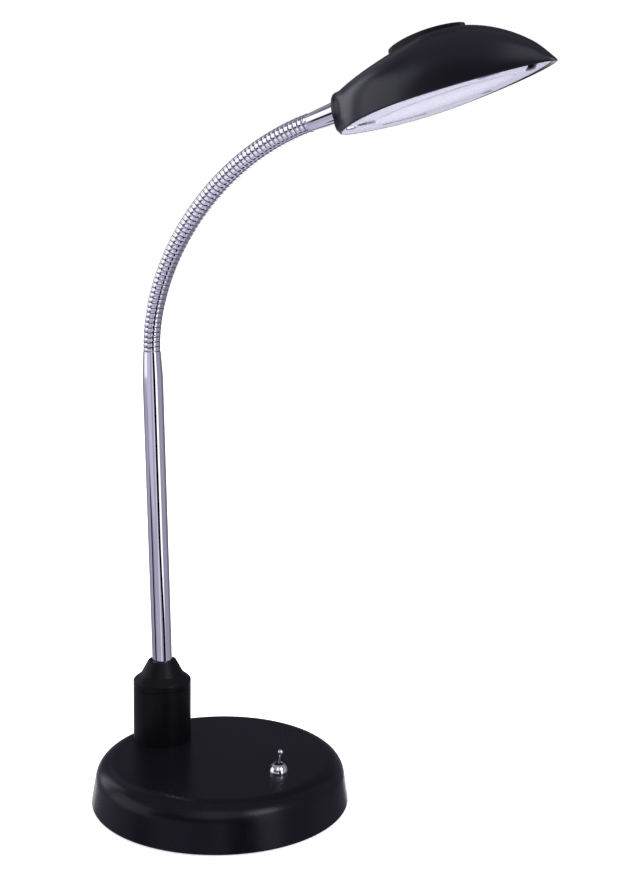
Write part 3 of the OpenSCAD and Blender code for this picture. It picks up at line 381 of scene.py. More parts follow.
def turned(name, outline, finish, body, origin, axis="Y", degrees=0, columns=96, steps=7):
    """Solid of revolution from an outline of corners. One that starts on the axis also ends on
    it; any other is a closed ring. It is turned about an axis and moved to its origin."""
    ring = rounded(outline, steps)
    angles = np.arange(columns) * 2 * math.pi / columns
    points = placed(round_points(ring, angles), origin, axis, degrees)
    return surface(name, points, wrapped(len(ring), columns, ring[0][0] > 1e-6), finish, body)


def moulded_black(name, dark, light, gloss, grain, shine=0.5):
    """Black moulded plastic: a faint cloud in its tone, a patchy sheen, a fine spark-eroded
    grain and a shallow waviness."""
    fixed = {"Specular IOR Level": shine, "Specular Tint": (0.9, 0.9, 1.0, 1)}
    return material(name, fixed, lambda where: {
        "Base Color": noise(where, 0.03).blend((*dark, 1), (*light, 1)),
        "Roughness": gloss + 0.05 * noise(where, 0.012, 3) + 0.04 * noise(where, 0.0009),
        "Normal": bumps(0.8 * noise(where, grain, 3) + 3 * noise(where, 0.009), 0.000006)})


satin_black = moulded_black("satin_black", (0.0030, 0.0028, 0.0042), (0.0040, 0.0037, 0.0054),
                            0.22, 0.00035, 0.22)
base_r, base_h, draft, shoulder, cover_wall = 75.0, 26.4, 2.2, 12.0, 2.4
foot_z = 0.8
inlet_x, inlet_z, inlet_flat_r, flat_edge = 72.6, 11.0, 7.2, 0.5
# where the drafted side would meet the level top, before that corner is rounded
top_corner = base_r - draft * (base_h - foot_z) / (base_h - shoulder - foot_z)
cover_ring = rounded([
    (0, base_h - cover_wall, 0), (top_corner - cover_wall, base_h - cover_wall, shoulder - cover_wall),
    (base_r - cover_wall, foot_z, 0.3), (base_r, foot_z, 1.2), (top_corner, base_h, shoulder),
    (0, base_h, 0)], 24)
# long straight runs of the outline get more rows, so that the flat has points to lie on
lengths = np.r_[0, np.cumsum(np.linalg.norm(np.diff(cover_ring, axis=0), axis=1))]
row_gap = 0.6
spread = np.unique(np.r_[lengths, np.arange(0, lengths[-1], row_gap)])
cover_ring = np.stack([np.interp(spread, lengths, cover_ring[:, k]) for k in (0, 1)], 1)
cover_ring[[0, -1], 0] = 0
# the columns stand closer together beside the inlet
near_inlet = np.pi + np.radians(np.linspace(-8, 8, 48))
cover_columns = 160
around = np.unique(np.r_[np.arange(0, 2 * np.pi, 2 * np.pi / cover_columns), near_inlet])
around = around[np.r_[True, np.diff(around) > 1e-3]]    # none that all but coincide
cover_points = round_points(cover_ring, around)
# points inside the inlet's circle are pressed on to its flat
off_axis = np.hypot(cover_points[:, 1], cover_points[:, 2] - inlet_z)
pressed = np.clip((inlet_flat_r + flat_edge - off_axis) / flat_edge, 0, 1) * (cover_points[:, 0] < -inlet_x)
cover_points[:, 0] += pressed * (-inlet_x - cover_points[:, 0])
base_cover = surface("base_cover_skin", cover_points, wrapped(len(cover_ring), len(around), False),
                     satin_black, "stand")
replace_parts(base_cover, "base_cover")

# ---- Toggle switch ----
# A miniature toggle in its usual trim: a nickel plated dome nut holds its threaded bushing in
# the top of the base, and a thin lever with a ball tip leans to one side. The blue body with
# its three tinned lugs hangs inside the base.
nickel = material("nickel", {"Metallic": 1.0}, lambda where: {
    "Base Color": noise(where, 0.004).blend((0.80, 0.78, 0.78, 1), (0.86, 0.84, 0.85, 1)),
    "Roughness": 0.05 + 0.05 * noise(where, 0.002, 3),
    "Normal": bumps(noise(where, 0.0015), 0.000003)})
switch_x = 41.4
dome_r, dome_rise, dome_h, bushing_r, opening_r = 5.6, 5.75, 4.9, 3.0, 2.75
dome_angles = np.radians(np.linspace(4, 56, 22))
dome_side = [(dome_r * math.cos(a), 0.1 + dome_rise * math.sin(a), 0) for a in dome_angles]
dome_nut = turned("dome_nut", [
    (bushing_r + 0.05, 0, 0), (dome_r - 0.15, 0, 0), *dome_side,
    (opening_r, dome_h, 0.2), (opening_r, dome_h - 1, 0), (bushing_r + 0.05, dome_h - 1, 0)],
    nickel, "stand", (switch_x, 0, base_h))
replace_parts(dome_nut, "switch_dome_nut")

lever_steel = material("lever_steel", {"Metallic": 1.0}, lambda where: {
    # painted shade: the rod is coloured dark, and it turns to bright steel just under the ball
    "Base Color": where.axes()[2].fade(0.0345, 0.0358).blend((0.16, 0.15, 0.15, 1), (0.8, 0.78, 0.78, 1)),
    "Roughness": 0.08 + 0.08 * noise(where, 0.002, 3)})
fulcrum_z, lever_l, ball_r, throw = base_h + 2.2, 9.0, 1.6, 12
ball_angles = np.radians(np.linspace(-66, 90, 26))
lever = turned("toggle_lever", [
    (0, -4.6, 0), (0.5, -4.6, 0.2), (0.8, -1.4, 0), (1.3, -1.05, 0), (1.65, -0.4, 0), (1.7, 0.1, 0),
    (1.5, 0.8, 0), (1.1, 1.25, 0.2), (0.72, 1.7, 0), (0.52, 7.4, 0.2),
    *[(ball_r * math.cos(a), lever_l + ball_r * math.sin(a), 0) for a in ball_angles[:-1]],
    (0, lever_l + ball_r, 0)],
    lever_steel, "toggle", (switch_x, 0, fulcrum_z), "X", -throw, columns=48)
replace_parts(lever, "switch_lever")

blue_plastic = material("blue_moulding", {"Specular IOR Level": 0.4}, lambda where: {
    "Base Color": noise(where, 0.004).blend((0.03, 0.07, 0.27, 1), (0.05, 0.1, 0.36, 1)),
    "Roughness": 0.42 + 0.1 * noise(where, 0.002),
    "Normal": bumps(noise(where, 0.0005), 0.00001)})
tinned = material("tinned_brass", {"Metallic": 1.0}, lambda where: {
    "Base Color": noise(where, 0.0012, 3).blend((0.72, 0.56, 0.3, 1), (0.76, 0.74, 0.7, 1)),
    "Roughness": 0.3 + 0.2 * noise(where, 0.0008)})
painted(blue_plastic, "switch_body")
painted(tinned, "switch_terminals")
# painted shade: the bushing is coloured near black, for the shade inside the dome nut's opening
shaded_bushing_brass = material("brass_painted_shade", {"Metallic": 1.0}, lambda where: {
    "Base Color": noise(where, 0.001, 3).blend((0.03, 0.026, 0.02, 1), (0.07, 0.06, 0.045, 1)),
    "Roughness": 0.45 + 0.15 * noise(where, 0.0008)})
painted(shaded_bushing_brass, "switch_bushing")
painted(nickel, "switch_inner_nut", "switch_washer")

# ---- Power inlet ----
# The barrel socket for the power supply is a black nylon moulding with a polished centre pin.
# It sits in the flat at the back of the base, with its hexagon nut on the inside.
nylon = material("black_nylon", {"Specular IOR Level": 0.45}, lambda where: {
    "Base Color": noise(where, 0.006).blend((0.014, 0.014, 0.015, 1), (0.026, 0.026, 0.028, 1)),
    "Roughness": 0.46 + 0.12 * noise(where, 0.0015, 3),
    "Normal": bumps(noise(where, 0.0004, 3), 0.00002)})
socket_r, socket_bore_r = 5.76, 2.85
inlet_socket = turned("inlet_socket", [
    (0, -8, 0), (socket_bore_r, -8, 0), (socket_bore_r, 1.4, 0.25), (socket_r, 1.4, 0.35),
    (socket_r, 0, 0), (4.0, 0, 0), (4.0, -12, 0.2), (0, -12, 0)],
    nylon, "stand", (-inlet_x, 0, inlet_z), "Y", -90)
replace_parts(inlet_socket, "inlet_body")
painted(nickel, "inlet_pin")
painted(zinc, "inlet_nut")

# ---- Driver and leads ----
# A small green board inside the base turns the supply into the current for the LEDs. Two-core
# leads in soft insulation run to it from the inlet, the switch and up through the stem.
board_green = material("board_green", {"Specular IOR Level": 0.5}, lambda where: {
    # copper tracks show through the green lacquer as a paler pattern
    "Base Color": noise(where, 0.0022, 3).fade(0.46, 0.5).blend((0.02, 0.13, 0.05, 1), (0.035, 0.2, 0.08, 1)),
    "Roughness": 0.3 + 0.15 * noise(where, 0.003)})
chip_black = material("chip_black", {"Specular IOR Level": 0.4}, lambda where: {
    "Base Color": noise(where, 0.003).blend((0.03, 0.03, 0.032, 1), (0.08, 0.08, 0.085, 1)),
    "Roughness": 0.5 + 0.2 * noise(where, 0.0008)})
red_wire = material("red_insulation", {"Specular IOR Level": 0.45}, lambda where: {
    "Base Color": noise(where, 0.005).blend((0.42, 0.02, 0.02, 1), (0.55, 0.035, 0.03, 1)),
    "Roughness": 0.38 + 0.12 * noise(where, 0.002)})
clear_wire = material("clear_insulation", {"Specular IOR Level": 0.5}, lambda where: {
    "Base Color": noise(where, 0.004).blend((0.68, 0.63, 0.55, 1), (0.78, 0.75, 0.68, 1)),
    "Roughness": 0.28 + 0.12 * noise(where, 0.002)})
painted(board_green, "driver_board")
painted(chip_black, "driver_parts")
painted(red_wire, "supply_lead", "switch_lead")
painted(clear_wire, "stem_lead")

# ---- Post ----
# A plain black sleeve stands on the base behind its centre, and a cap with a rounded shoulder
# and a cone closes it. Inside, a turned steel bush with a hollow stud holds the stem, and a
# nut under the top of the base pulls everything together.
gloss_black = moulded_black("gloss_black", (0.0024, 0.0024, 0.0032), (0.0032, 0.0032, 0.0042),
                            0.36, 0.0005, 0.15)
post_x, post_r, sleeve_wall = 45.3, 17.2, 2.2
sleeve_foot, sleeve_top, post_top = 25.6, 59.4, 75.4
sleeve = turned("post_sleeve_skin", [
    (post_r - sleeve_wall, sleeve_foot, 0), (post_r, sleeve_foot, 0), (post_r, sleeve_top, 0.2),
    (post_r - sleeve_wall, sleeve_top, 0)],
    gloss_black, "stand", (-post_x, 0, 0), columns=128)
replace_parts(sleeve, "post_sleeve")
cap = turned("post_cap_skin", [
    (6.3, 5.0, 0), (13.2, 0, 0), (post_r - 0.4, 0, 0), (post_r - 0.3, 0.2, 0.05),
    (post_r, 0.2, 0.15), (post_r, 4.0, 1.6), (12.7, 7.7, 0.9), (8.7, 15.1, 0.8), (8.1, 16.0, 0.5),
    (6.3, 16.0, 0.35)],
    gloss_black, "stand", (-post_x, 0, sleeve_top), columns=128, steps=12)
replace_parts(cap, "post_cap")
# turning marks run round the steel bush, 0.7 mm apart
bush_steel = material("turned_steel", {"Metallic": 1.0}, lambda where: {
    "Base Color": noise(where, 0.003).blend((0.4, 0.4, 0.41, 1), (0.55, 0.55, 0.55, 1)),
    "Roughness": 0.3 + 0.15 * noise(where, 0.0008),
    "Normal": bumps((where.axes()[2] * 9000).math("SINE"), 0.000008)})
painted(bush_steel, "post_bush")
painted(zinc, "post_washer", "post_nut", "bush_grub_screw")

# ---- Stem ----
# A 12 mm chrome plated steel tube, drawn down to a rolled mouth at its top. It is pressed into
# the bush and leans back a little, which brings the head over the middle of the base.
chrome = material("chrome", {"Metallic": 1.0}, lambda where: {
    "Base Color": noise(where, 0.02).blend((0.80, 0.79, 0.83, 1), (0.84, 0.83, 0.87, 1)),
    "Roughness": 0.02 + 0.03 * noise(where, 0.006, 3) + 0.01 * noise(where, 0.0007),
    "Normal": bumps(noise(where, 0.004), 0.000004)})
lean, stem_r, stem_h, mouth_r = 2.35, 6.0, 184.6, 5.2
stem = turned("stem_skin", [
    (stem_r - 1, -34, 0), (stem_r, -34, 0), (stem_r, stem_h - 15, 40), (mouth_r, stem_h - 1.2, 0.4),
    (mouth_r, stem_h - 0.2, 0.35), (4.2, stem_h, 0.2), (4.2, stem_h - 12, 0),
    (stem_r - 1, stem_h - 17, 0)],
    chrome, "stand", (-post_x, 0, post_top), "Y", -lean, columns=128, steps=10)
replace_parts(stem, "stem_tube")

# ---- Wound neck ----
# Two wires are wound round each other into a flexible tube: outside it shows one polished,
# slightly crowned band that climbs round and round with a thin groove between its turns. It
# stays wherever it is bent. Each length of four turns is one link of it.
def sunk_in(where):
    """How far a place lies in a groove, hole or seat, from 0 to 1: the mesh's own attribute, by which the
    finishes paint shade there.
    """
    return where.node("ShaderNodeAttribute", {"attribute_name": "shade"}, out=2)


# painted shade: the chrome's colour turns near black where the attribute is high, in the grooves and on the
# end discs
wound_chrome = material("wound_chrome", {"Metallic": 1.0}, lambda where: {
    "Base Color": sunk_in(where).blend((0.82, 0.81, 0.85, 1), (0.03, 0.03, 0.035, 1)),
    "Roughness": 0.05 + 0.04 * noise(where, 0.003, 3) + 0.5 * sunk_in(where),
    "Normal": bumps(noise(where, 0.002), 0.00001)})
pitch_mm, neck_r, groove_half, groove_depth = 2.95, 4.95, 0.15, 0.4
joint_count, link_turns = 15, 4
half_turns = link_turns // 2
half_link = half_turns * pitch_mm
first_bend, last_bend = 8.3, 4.27
bends = [last_bend + (first_bend - last_bend) * ((joint_count - k) / (joint_count - 1)) ** 4
         for k in range(1, joint_count + 1)]
headings = np.radians(-lean + np.r_[0, np.cumsum(bends)])


def along(angle):
    """Direction up the neck at an angle from the vertical, in the XZ plane."""
    return np.array([math.sin(angle), 0, math.cos(angle)])


# the band's outline over one turn, from the middle of one groove to the middle of the next: the
# groove's floor, its steep side, and a face that falls away from its middle by a power curve
band_phase = np.array([0, 0.025, 0.0508, 0.0508, 0.075, 0.115, 0.18, 0.28, 0.39, 0.5,
                       0.61, 0.72, 0.82, 0.885, 0.925, 0.9492, 0.9492, 0.975])
off_middle = np.clip((np.abs(band_phase - 0.5) * pitch_mm) / (pitch_mm / 2 - groove_half), 0, 1)
band_r = neck_r - 0.01 - 0.12 * off_middle ** 2.6
band_r[[0, 1, 2, -2, -1]] = neck_r - groove_depth + np.array([0, 0.02, 0.06, 0.06, 0.02])
band_r[[3, -3]] = neck_r - 0.27
neck_columns = 60
# where each arc of four turns starts, and its radius; neck_end is where the last one ends
arc_starts, arc_radii = [], []
joint = np.array([-post_x, 0, post_top]) + (stem_h + half_link) * along(headings[0])
for before, after in zip(headings[:-1], headings[1:]):
    arc_starts.append(joint - half_link * along(before))
    arc_radii.append(half_link / math.tan((after - before) / 2))
    neck_end = joint + half_link * along(after)
    joint = joint + 2 * half_link * along(after)
arc_starts, arc_radii = np.array(arc_starts), np.array(arc_radii)


def neck_line(turn):
    """Middle of the neck, and its direction's angle, that many turns up: arc after arc of four
    turns, each at its radius * (cos first - cos a, sin a - sin first) from its start."""
    k = np.minimum((turn / link_turns).astype(int), joint_count - 1)
    first, arc_r = headings[k], arc_radii[k]
    a = first + (turn / link_turns - k) * (headings[k + 1] - first)
    from_start = np.stack([arc_r * (np.cos(first) - np.cos(a)), 0 * a,
                           arc_r * (np.sin(a) - np.sin(first))], -1)
    return arc_starts[k] + from_start, a


def winding(name, first_turn, turns, body):
    """So many turns of the neck from first_turn on: for column angle c and row phase p, the
    distance up its line is the pitch times (p + c / full circle), held between the ends, and the
    radius is the band's outline at that phase. So every groove is a row of the grid, and it
    climbs one pitch a turn."""
    rows = len(band_phase)
    phase = np.concatenate([band_phase + t for t in range(-1, turns + 1)] + [[turns + 1.0]])
    radius = np.r_[np.tile(band_r, turns + 2), band_r[0]]
    angle = np.arange(neck_columns) * 2 * np.pi / neck_columns
    raw = phase[:, None] + angle / (2 * np.pi)
    held = np.clip(raw, 0, turns)
    outline = np.interp((held - angle / (2 * np.pi)) % 1.0,
                        np.r_[band_phase + np.arange(rows) * 1e-7, 1], np.r_[band_r, band_r[0]])
    outline = np.where(raw == held, radius[:, None], outline)
    centre, heading = neck_line(first_turn + held)
    out = np.stack([np.cos(heading), 0 * heading, -np.sin(heading)], -1)
    onward = np.stack([np.sin(heading), 0 * heading, np.cos(heading)], -1)
    spoke = np.cos(angle)[:, None] * out + np.sin(angle)[:, None] * [0, 1, 0]
    points = centre + outline[..., None] * spoke
    # the last column joins the first one, a turn further on
    count = len(phase)
    i, j = np.meshgrid(np.arange(count - 1), np.arange(neck_columns), indexing="ij")
    last = j == neck_columns - 1
    m = np.where(last, 0, j + 1)
    low, high = np.where(last, i + rows, i), np.where(last, i + 1 + rows, i + 1)
    inside = high < count
    low, high = np.minimum(low, count - 1), np.minimum(high, count - 1)
    quads = [np.stack([i * neck_columns + j, low * neck_columns + m, high * neck_columns + m,
                       (i + 1) * neck_columns + j], -1)[inside]]
    # both ends are closed by a narrow rim and a dished disc coloured dark as painted shade, which leaves room
    # to bend
    rim, dish = 0.93, 0.35
    discs = []
    for k, inward in ((0, dish), (-1, -dish)):
        discs += [centre[k] + outline[k, :, None] * rim * spoke[k] + inward * onward[k],
                  centre[k] + 2 * inward * onward[k]]
    ring = np.arange(neck_columns)
    following = (ring + 1) % neck_columns
    for k, edge in ((0, 0), (1, (count - 1) * neck_columns)):
        inner, middle = (count + 2 * k) * neck_columns, (count + 2 * k + 1) * neck_columns
        rim_quads = np.stack([edge + ring, edge + following, inner + following, inner + ring], -1)
        dish_quads = np.stack([inner + ring, inner + following, middle + following, middle + ring], -1)
        facing = 1 - 2 * k
        quads += [rim_quads[:, ::facing], dish_quads[:, ::facing]]
    # painted shade: a place is coloured dark from 0.28 mm inside the neck's radius on, and bright up to 0.16
    # mm inside it
    sunk = np.clip((neck_r - 0.16 - outline) / 0.12, 0, 1)
    return surface(name, np.concatenate([points, discs]).reshape(-1, 3), np.concatenate(quads),
                   wound_chrome, body, sharp=32,
                   shade=np.r_[sunk.ravel(), np.ones(4 * neck_columns)])


# each length runs from joint to joint, which sit in the middle of the arcs
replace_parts(winding("winding_root", 0, half_turns, "stand"), "neck_root", "neck_lead")
for k in range(1, joint_count):
    length = winding(f"winding_{k}", link_turns * k - half_turns, link_turns, f"link_{k}")
    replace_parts(length, f"neck_link_{k}")
last_joint = link_turns * joint_count - half_turns
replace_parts(winding("winding_tip", last_joint, half_turns, "head"), "neck_tip")

# ---- Ferrule ----
# A turned and polished cone joins the neck to the head: a narrow ring against the winding, a
# groove, then the cone that widens to the shade. A nut inside the shade holds its spigot.
tip_heading = math.degrees(headings[-1])
ferrule_l = 17.8
ferrule = turned("ferrule_skin", [
    (3.0, 0.1, 0), (4.8, 0.1, 0.1), (4.95, 0.4, 0.15), (4.95, 1.0, 0.15), (4.4, 1.2, 0.1),
    (4.35, 1.5, 0.1), (4.6, 1.75, 0.1), (5.7, ferrule_l + 1.5, 0.3), (5.6, ferrule_l + 3, 0),
    (3.0, ferrule_l + 3, 0)],
    chrome, "head", neck_end, "Y", tip_heading, columns=128)
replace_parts(ferrule, "head_ferrule")
painted(zinc, "ferrule_nut")

# ---- Shade ----
# The head is a slim mussel-shaped moulding in satin black: a blunt oval end takes the ferrule,
# the rim is a long leaf, and the crown rises behind the middle and falls to a pointed tip.
shade_l, shade_w, shade_h, nose_h, nose_w, shade_wall = 121.0, 44.0, 33.0, 21.0, 15.6, 1.6
# the blunt end of the rim lies a little past the ferrule's length
nose_past, droop, entry_h = 0.6, 1.3, 11.6
nose_set = ferrule_l + nose_past
nose_l, nose_mid = 22, nose_h * 0.53
# the chin stands out, the end above it leans back, and the chin's lower edge is rounded
chin_out, chin_l = 0.8, 20
nose_back, nose_back_h = 1.7, 7
chin_round, chin_round_l, chin_round_h = 1.2, 7, 3
head_pitch = 90 - tip_heading - droop
widest_at, crown_at = 0.397 * shade_l, 0.496 * shade_l
tip_at, tip_l, tip_low = 111, 10, 0.25


def in_head(points):
    """Points of the head's own frame, chin at the origin and tip towards +X, in the lamp's frame."""
    return placed(points + np.array([nose_set, 0, -entry_h]), neck_end, "Y", -head_pitch)


def rim_half(u):
    """Half width of the rim: two power curves that meet at the widest place."""
    back = np.clip(1 - ((widest_at - u) / widest_at) ** 2, 0, 1) ** 0.74
    front = np.clip(1 - np.abs((u - widest_at) / (shade_l - widest_at)) ** 1.6, 0, 1) ** 0.66
    return shade_w / 2 * np.where(u <= widest_at, back, front)


def crown(u):
    """Height over the rim: a rise from the blunt end and an arched fall to the tip, both power
    curves, with up to a quarter less at the very tip."""
    back = shade_h - (shade_h - nose_h) * np.clip((crown_at - u) / crown_at, 0, 1) ** 1.1
    front = shade_h * np.clip(1 - ((u - crown_at) / (shade_l - crown_at)) ** 2, 0, 1) ** 0.82
    front = front * (1 - tip_low * np.clip((u - tip_at) / tip_l, 0, 1) ** 2)
    return np.where(u <= crown_at, back, front)


def smooth(t):
    """0 up to 0 and 1 from 1 on, and between them 3 times the square less twice the cube."""
    t = np.clip(t, 0, 1)
    return t * t * (3 - 2 * t)


def quarter_round(t):
    """How much a rounded edge takes away: 1 at 0, along a quarter circle, to 0 from 1 on."""
    return 1 - np.sqrt(1 - np.clip(1 - t, 0, 1) ** 2)


def fullness(u):
    """Exponent of the arch, which is boxier at the blunt end and eases to nearly round."""
    return 2.2 + 0.4 * (1 - smooth(u / crown_at))


def skin_half(u, w):
    """Half width at height w: a rounded arch over the rim, joined to the oval of the blunt end,
    which fades out, by the fourth root of the sum of their fourth powers."""
    full = fullness(u)
    arch = rim_half(u) * np.clip(1 - (w / np.maximum(crown(u), 0.01)) ** full, 0, 1) ** (1 / full)
    oval = nose_w / 2 * np.sqrt(np.clip(1 - ((w - nose_mid) / (nose_h / 2)) ** 2, 0, 1))
    oval = oval * np.clip(1 - (u / nose_l) ** 2, 0, 1)
    return np.maximum(0.35, (arch ** 4 + oval ** 4) ** 0.25)


def lean_out(u, w):
    """How far the blunt end leans out at height w: out at the chin and back above it, both less
    with the square of the distance to where they end, and rounded away under the chin."""
    up = np.maximum(w, 0)
    out = (chin_out - nose_back * np.minimum(1, up / nose_back_h)) * np.clip(1 - u / chin_l, 0, 1) ** 2
    return out - chin_round * quarter_round(up / chin_round_h) * np.clip(1 - u / chin_round_l, 0, 1) ** 2


skin_columns, skin_rows = 150, 130
skin_l = shade_l * 0.9965    # the grid stops a little short of the tip
closer_at_ends = 0.5 - 0.5 * np.cos(np.linspace(0, np.pi, skin_columns + 1))
# how far the edges are rounded: at the rim, and at the blunt end sideways, lengthways and up
edge_r, nose_round = 0.5, np.array([1.6, 2.3, 0.8])


def skin(start, stop, inset):
    """Shade skin on a grid of columns along the head and rows over it: row angle a from 0 to a
    half circle, closer at the rim, gives the height crown * sin(a) ** (2 / fullness). The edges
    of the outer skin are rounded, and inset moves the skin inwards."""
    u = start + (stop - start) * closer_at_ends[:, None]
    a = np.pi / 2 * (1 - np.cos(np.linspace(0, np.pi, skin_rows + 1)))[None, :]
    tall, wide = crown(u), np.maximum(rim_half(u), nose_w / 2)
    w = tall * np.sin(a) ** (2 / fullness(u))
    half = skin_half(u, w)
    if inset == 0:
        half = np.maximum(0.3, half - edge_r * quarter_round(w / edge_r))
        close = quarter_round(u / nose_round[1])
        half = half * (1 - close * nose_round[0] / (nose_w / 2))
        w = nose_mid + (w - nose_mid) * (1 - close * nose_round[2] / (nose_h / 2))
    normal_l = np.hypot(tall * np.cos(a), wide * np.sin(a))
    half = half - inset * np.abs(tall * np.cos(a)) / normal_l
    side = np.where(np.cos(a) < 0, 1, -1)
    return np.stack([u - lean_out(u, w) + 0 * a, side * half, w - inset * wide * np.sin(a) / normal_l], -1)


tip_inset, tip_inset_at, tip_inset_l = 1.7, 50, 70


def inset_outline(u, inset):
    """The rim's outline moved inwards: each point goes that far, and up to tip_inset further at
    the tip, along the outline's own normal, which is its direction turned a quarter round."""
    half = rim_half(u)
    along_u, along_h = np.gradient(u), np.gradient(half)
    far = inset + tip_inset * np.clip((u - tip_inset_at) / tip_inset_l, 0, 1) ** 1.6
    step = far / np.hypot(along_u, along_h)
    return u + step * along_h - lean_out(u, 0), np.maximum(0.04, half - step * along_u)


hollow_from, hollow_to = 7, 112.2
outer, inner = skin(0, skin_l, 0), skin(hollow_from, hollow_to, shade_wall)
# a bevel and a step inside the rim take the underside plate
seat_inset, bevel_h, seat_depth = 0.7, 0.45, 1.6
inner[..., 2] = np.maximum(inner[..., 2], seat_depth)
outer[..., 2] = np.maximum(outer[..., 2], 0)
seat_u, seat_half = inset_outline(skin_l * closer_at_ends, seat_inset)
seat = [np.stack([seat_u, hand * seat_half, 0 * seat_u + z], -1)
        for z in (bevel_h, seat_depth) for hand in (-1, 1)]
# the outer skin's points come first, then the inner skin's, then four half outlines of the seat
spine_points, stride = skin_columns + 1, skin_rows + 1
skin_points = spine_points * stride
i, j = [g.ravel() for g in np.meshgrid(np.arange(skin_columns), np.arange(skin_rows), indexing="ij")]
sheet = np.stack([i * stride + j, i * stride + j + 1, (i + 1) * stride + j + 1, (i + 1) * stride + j], -1)
spine = np.arange(spine_points)
# four edges run round the mouth, each as its left half and its right half
rim_left, rim_right = spine * stride, spine * stride + skin_rows
bevel_left, bevel_right, step_left, step_right = [
    2 * skin_points + k * spine_points + spine for k in range(4)]
edges = [(rim_left, rim_right), (bevel_left, bevel_right), (step_left, step_right),
         (skin_points + rim_left, skin_points + rim_right)]
lips = []
for (left_a, right_a), (left_b, right_b) in zip(edges[:-1], edges[1:]):
    lips += [np.stack([left_b[:-1], left_b[1:], left_a[1:], left_a[:-1]], -1),
             np.stack([right_a[:-1], right_a[1:], right_b[1:], right_b[:-1]], -1),
             np.array([[left_a[0], left_b[0], right_b[0], right_a[0]],
                       [right_a[-1], right_b[-1], left_b[-1], left_a[-1]]])]
# each skin's two end columns are closed from side to side
strip = np.arange(skin_rows // 2)
end_quads = np.stack([strip, skin_rows - strip, skin_rows - strip - 1, strip + 1], -1)
tip_column = skin_columns * stride
ends = [first + end_quads[:, ::facing]
        for first, facing in ((0, 1), (tip_column, -1), (skin_points, -1), (skin_points + tip_column, 1))]
shade_quads = np.concatenate([sheet, sheet[:, ::-1] + skin_points, *lips, *ends])
shade_points = np.concatenate([outer.reshape(-1, 3), inner.reshape(-1, 3), *seat])
head_black = moulded_black("head_black", (0.0036, 0.0034, 0.0050), (0.0048, 0.0046, 0.0066), 0.21, 0.0003)
shade_skin = surface("shade_skin", in_head(shade_points), shade_quads,
                     head_black, "head", sharp=45)
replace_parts(shade_skin, "head_shade")

# ---- Top cap ----
# An oval cap in a slightly duller black closes the crown over the heat sink. Its top is crowned
# along and across, and its edge stands a little over the shade.
cap_at, cap_a, cap_b, cap_rise, cap_depth = 0.474 * shade_l, 21.4, 6.9, 1.8, 6
long_r, cross_r, cap_round = 85.0, 18.0, 0.55


def barrel_top(x, y):
    """Height of the cap's top: a circle of the cross radius carried round the long one."""
    ridge = long_r - cross_r + np.sqrt(cross_r ** 2 - y ** 2)
    return shade_h + cap_rise - long_r + np.sqrt(ridge ** 2 - x ** 2)


# oval rings go out over the top, round its edge, down the side and in again at the bottom
top_rings, edge_rings, cap_columns = 13, 6, 120
edge_turn = np.linspace(0, np.pi / 2, edge_rings)
cap_reach = np.r_[np.linspace(0, 1, top_rings + 1)[:-1], np.ones(edge_rings), 1, 0]
cap_inset = np.r_[np.full(top_rings, cap_round), cap_round * (1 - np.sin(edge_turn)), 0, cap_b]
cap_drop = np.r_[np.zeros(top_rings), cap_round * (1 - np.cos(edge_turn)), 0, 0]
oval = np.linspace(0, 2 * np.pi, cap_columns + 1)[:-1]
cap_x = (cap_reach * (cap_a - cap_inset))[:, None] * np.cos(oval)
cap_y = (cap_reach * (cap_b - cap_inset))[:, None] * np.sin(oval)
cap_z = barrel_top(cap_x, cap_y) - cap_drop[:, None]
cap_z[-2:] = shade_h - cap_depth
cap_points = np.stack([cap_at + cap_x, cap_y, cap_z], -1).reshape(-1, 3)
cap_black = moulded_black("cap_black", (0.0034, 0.0034, 0.0044), (0.0046, 0.0046, 0.0058), 0.3, 0.0003, 0.2)
crown_cap = surface("crown_cap", in_head(cap_points), wrapped(len(cap_reach), cap_columns, False),
                    cap_black, "head")
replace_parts(crown_cap, "top_cap")
painted(zinc, "cap_screws")

# ---- Light engine ----
# Under the crown an extruded aluminium heat sink carries a white board with two rows of LEDs.
# It rests on ledges in the shade, and the cap's two screws pull it up.
aluminium = material("extruded_aluminium", {"Metallic": 1.0}, lambda where: {
    "Base Color": noise(where, 0.004).blend((0.64, 0.65, 0.67, 1), (0.76, 0.76, 0.77, 1)),
    "Roughness": 0.34 + 0.15 * noise(where, 0.0012, 3)})
board_white = material("board_white", {"Specular IOR Level": 0.5}, lambda where: {
    "Base Color": noise(where, 0.005).blend((0.80, 0.80, 0.78, 1), (0.86, 0.86, 0.84, 1)),
    "Roughness": 0.35 + 0.1 * noise(where, 0.002)})
phosphor = material("phosphor", {"Specular IOR Level": 0.6}, lambda where: {
    "Base Color": noise(where, 0.001).blend((0.84, 0.72, 0.25, 1), (0.88, 0.8, 0.4, 1)),
    "Roughness": 0.2 + 0.1 * noise(where, 0.001)})
painted(aluminium, "heat_sink")
painted(board_white, "led_board")
painted(phosphor, "led_chips")
painted(clear_wire, "head_lead")

# ---- Underside ----
# A lavender-white moulded plate lies in a step inside the rim, flush with it and a little
# bellied. A screw in a deep seat near the tip and another beside the ferrule hold it, and a
# slit, a notch and a small bent wire belong to the catches of the window.
# painted shade: the plate's colour turns near black where the attribute is high, inside its seats, slit and
# notches
panel_white = material("panel_white", {"Specular IOR Level": 0.45}, lambda where: {
    "Base Color": sunk_in(where).blend(noise(where, 0.02).blend((0.86, 0.85, 0.95, 1), (0.89, 0.88, 0.97, 1)),
                                       (0.004, 0.004, 0.005, 1)),
    "Roughness": 0.24 + 0.06 * noise(where, 0.004) + 0.4 * sunk_in(where),
    "Normal": bumps(noise(where, 0.0005), 0.0000008)})
belly, face_set = 0.5, 0.06
tip_set, tip_set_at, tip_set_l = 0.6, 60, 55


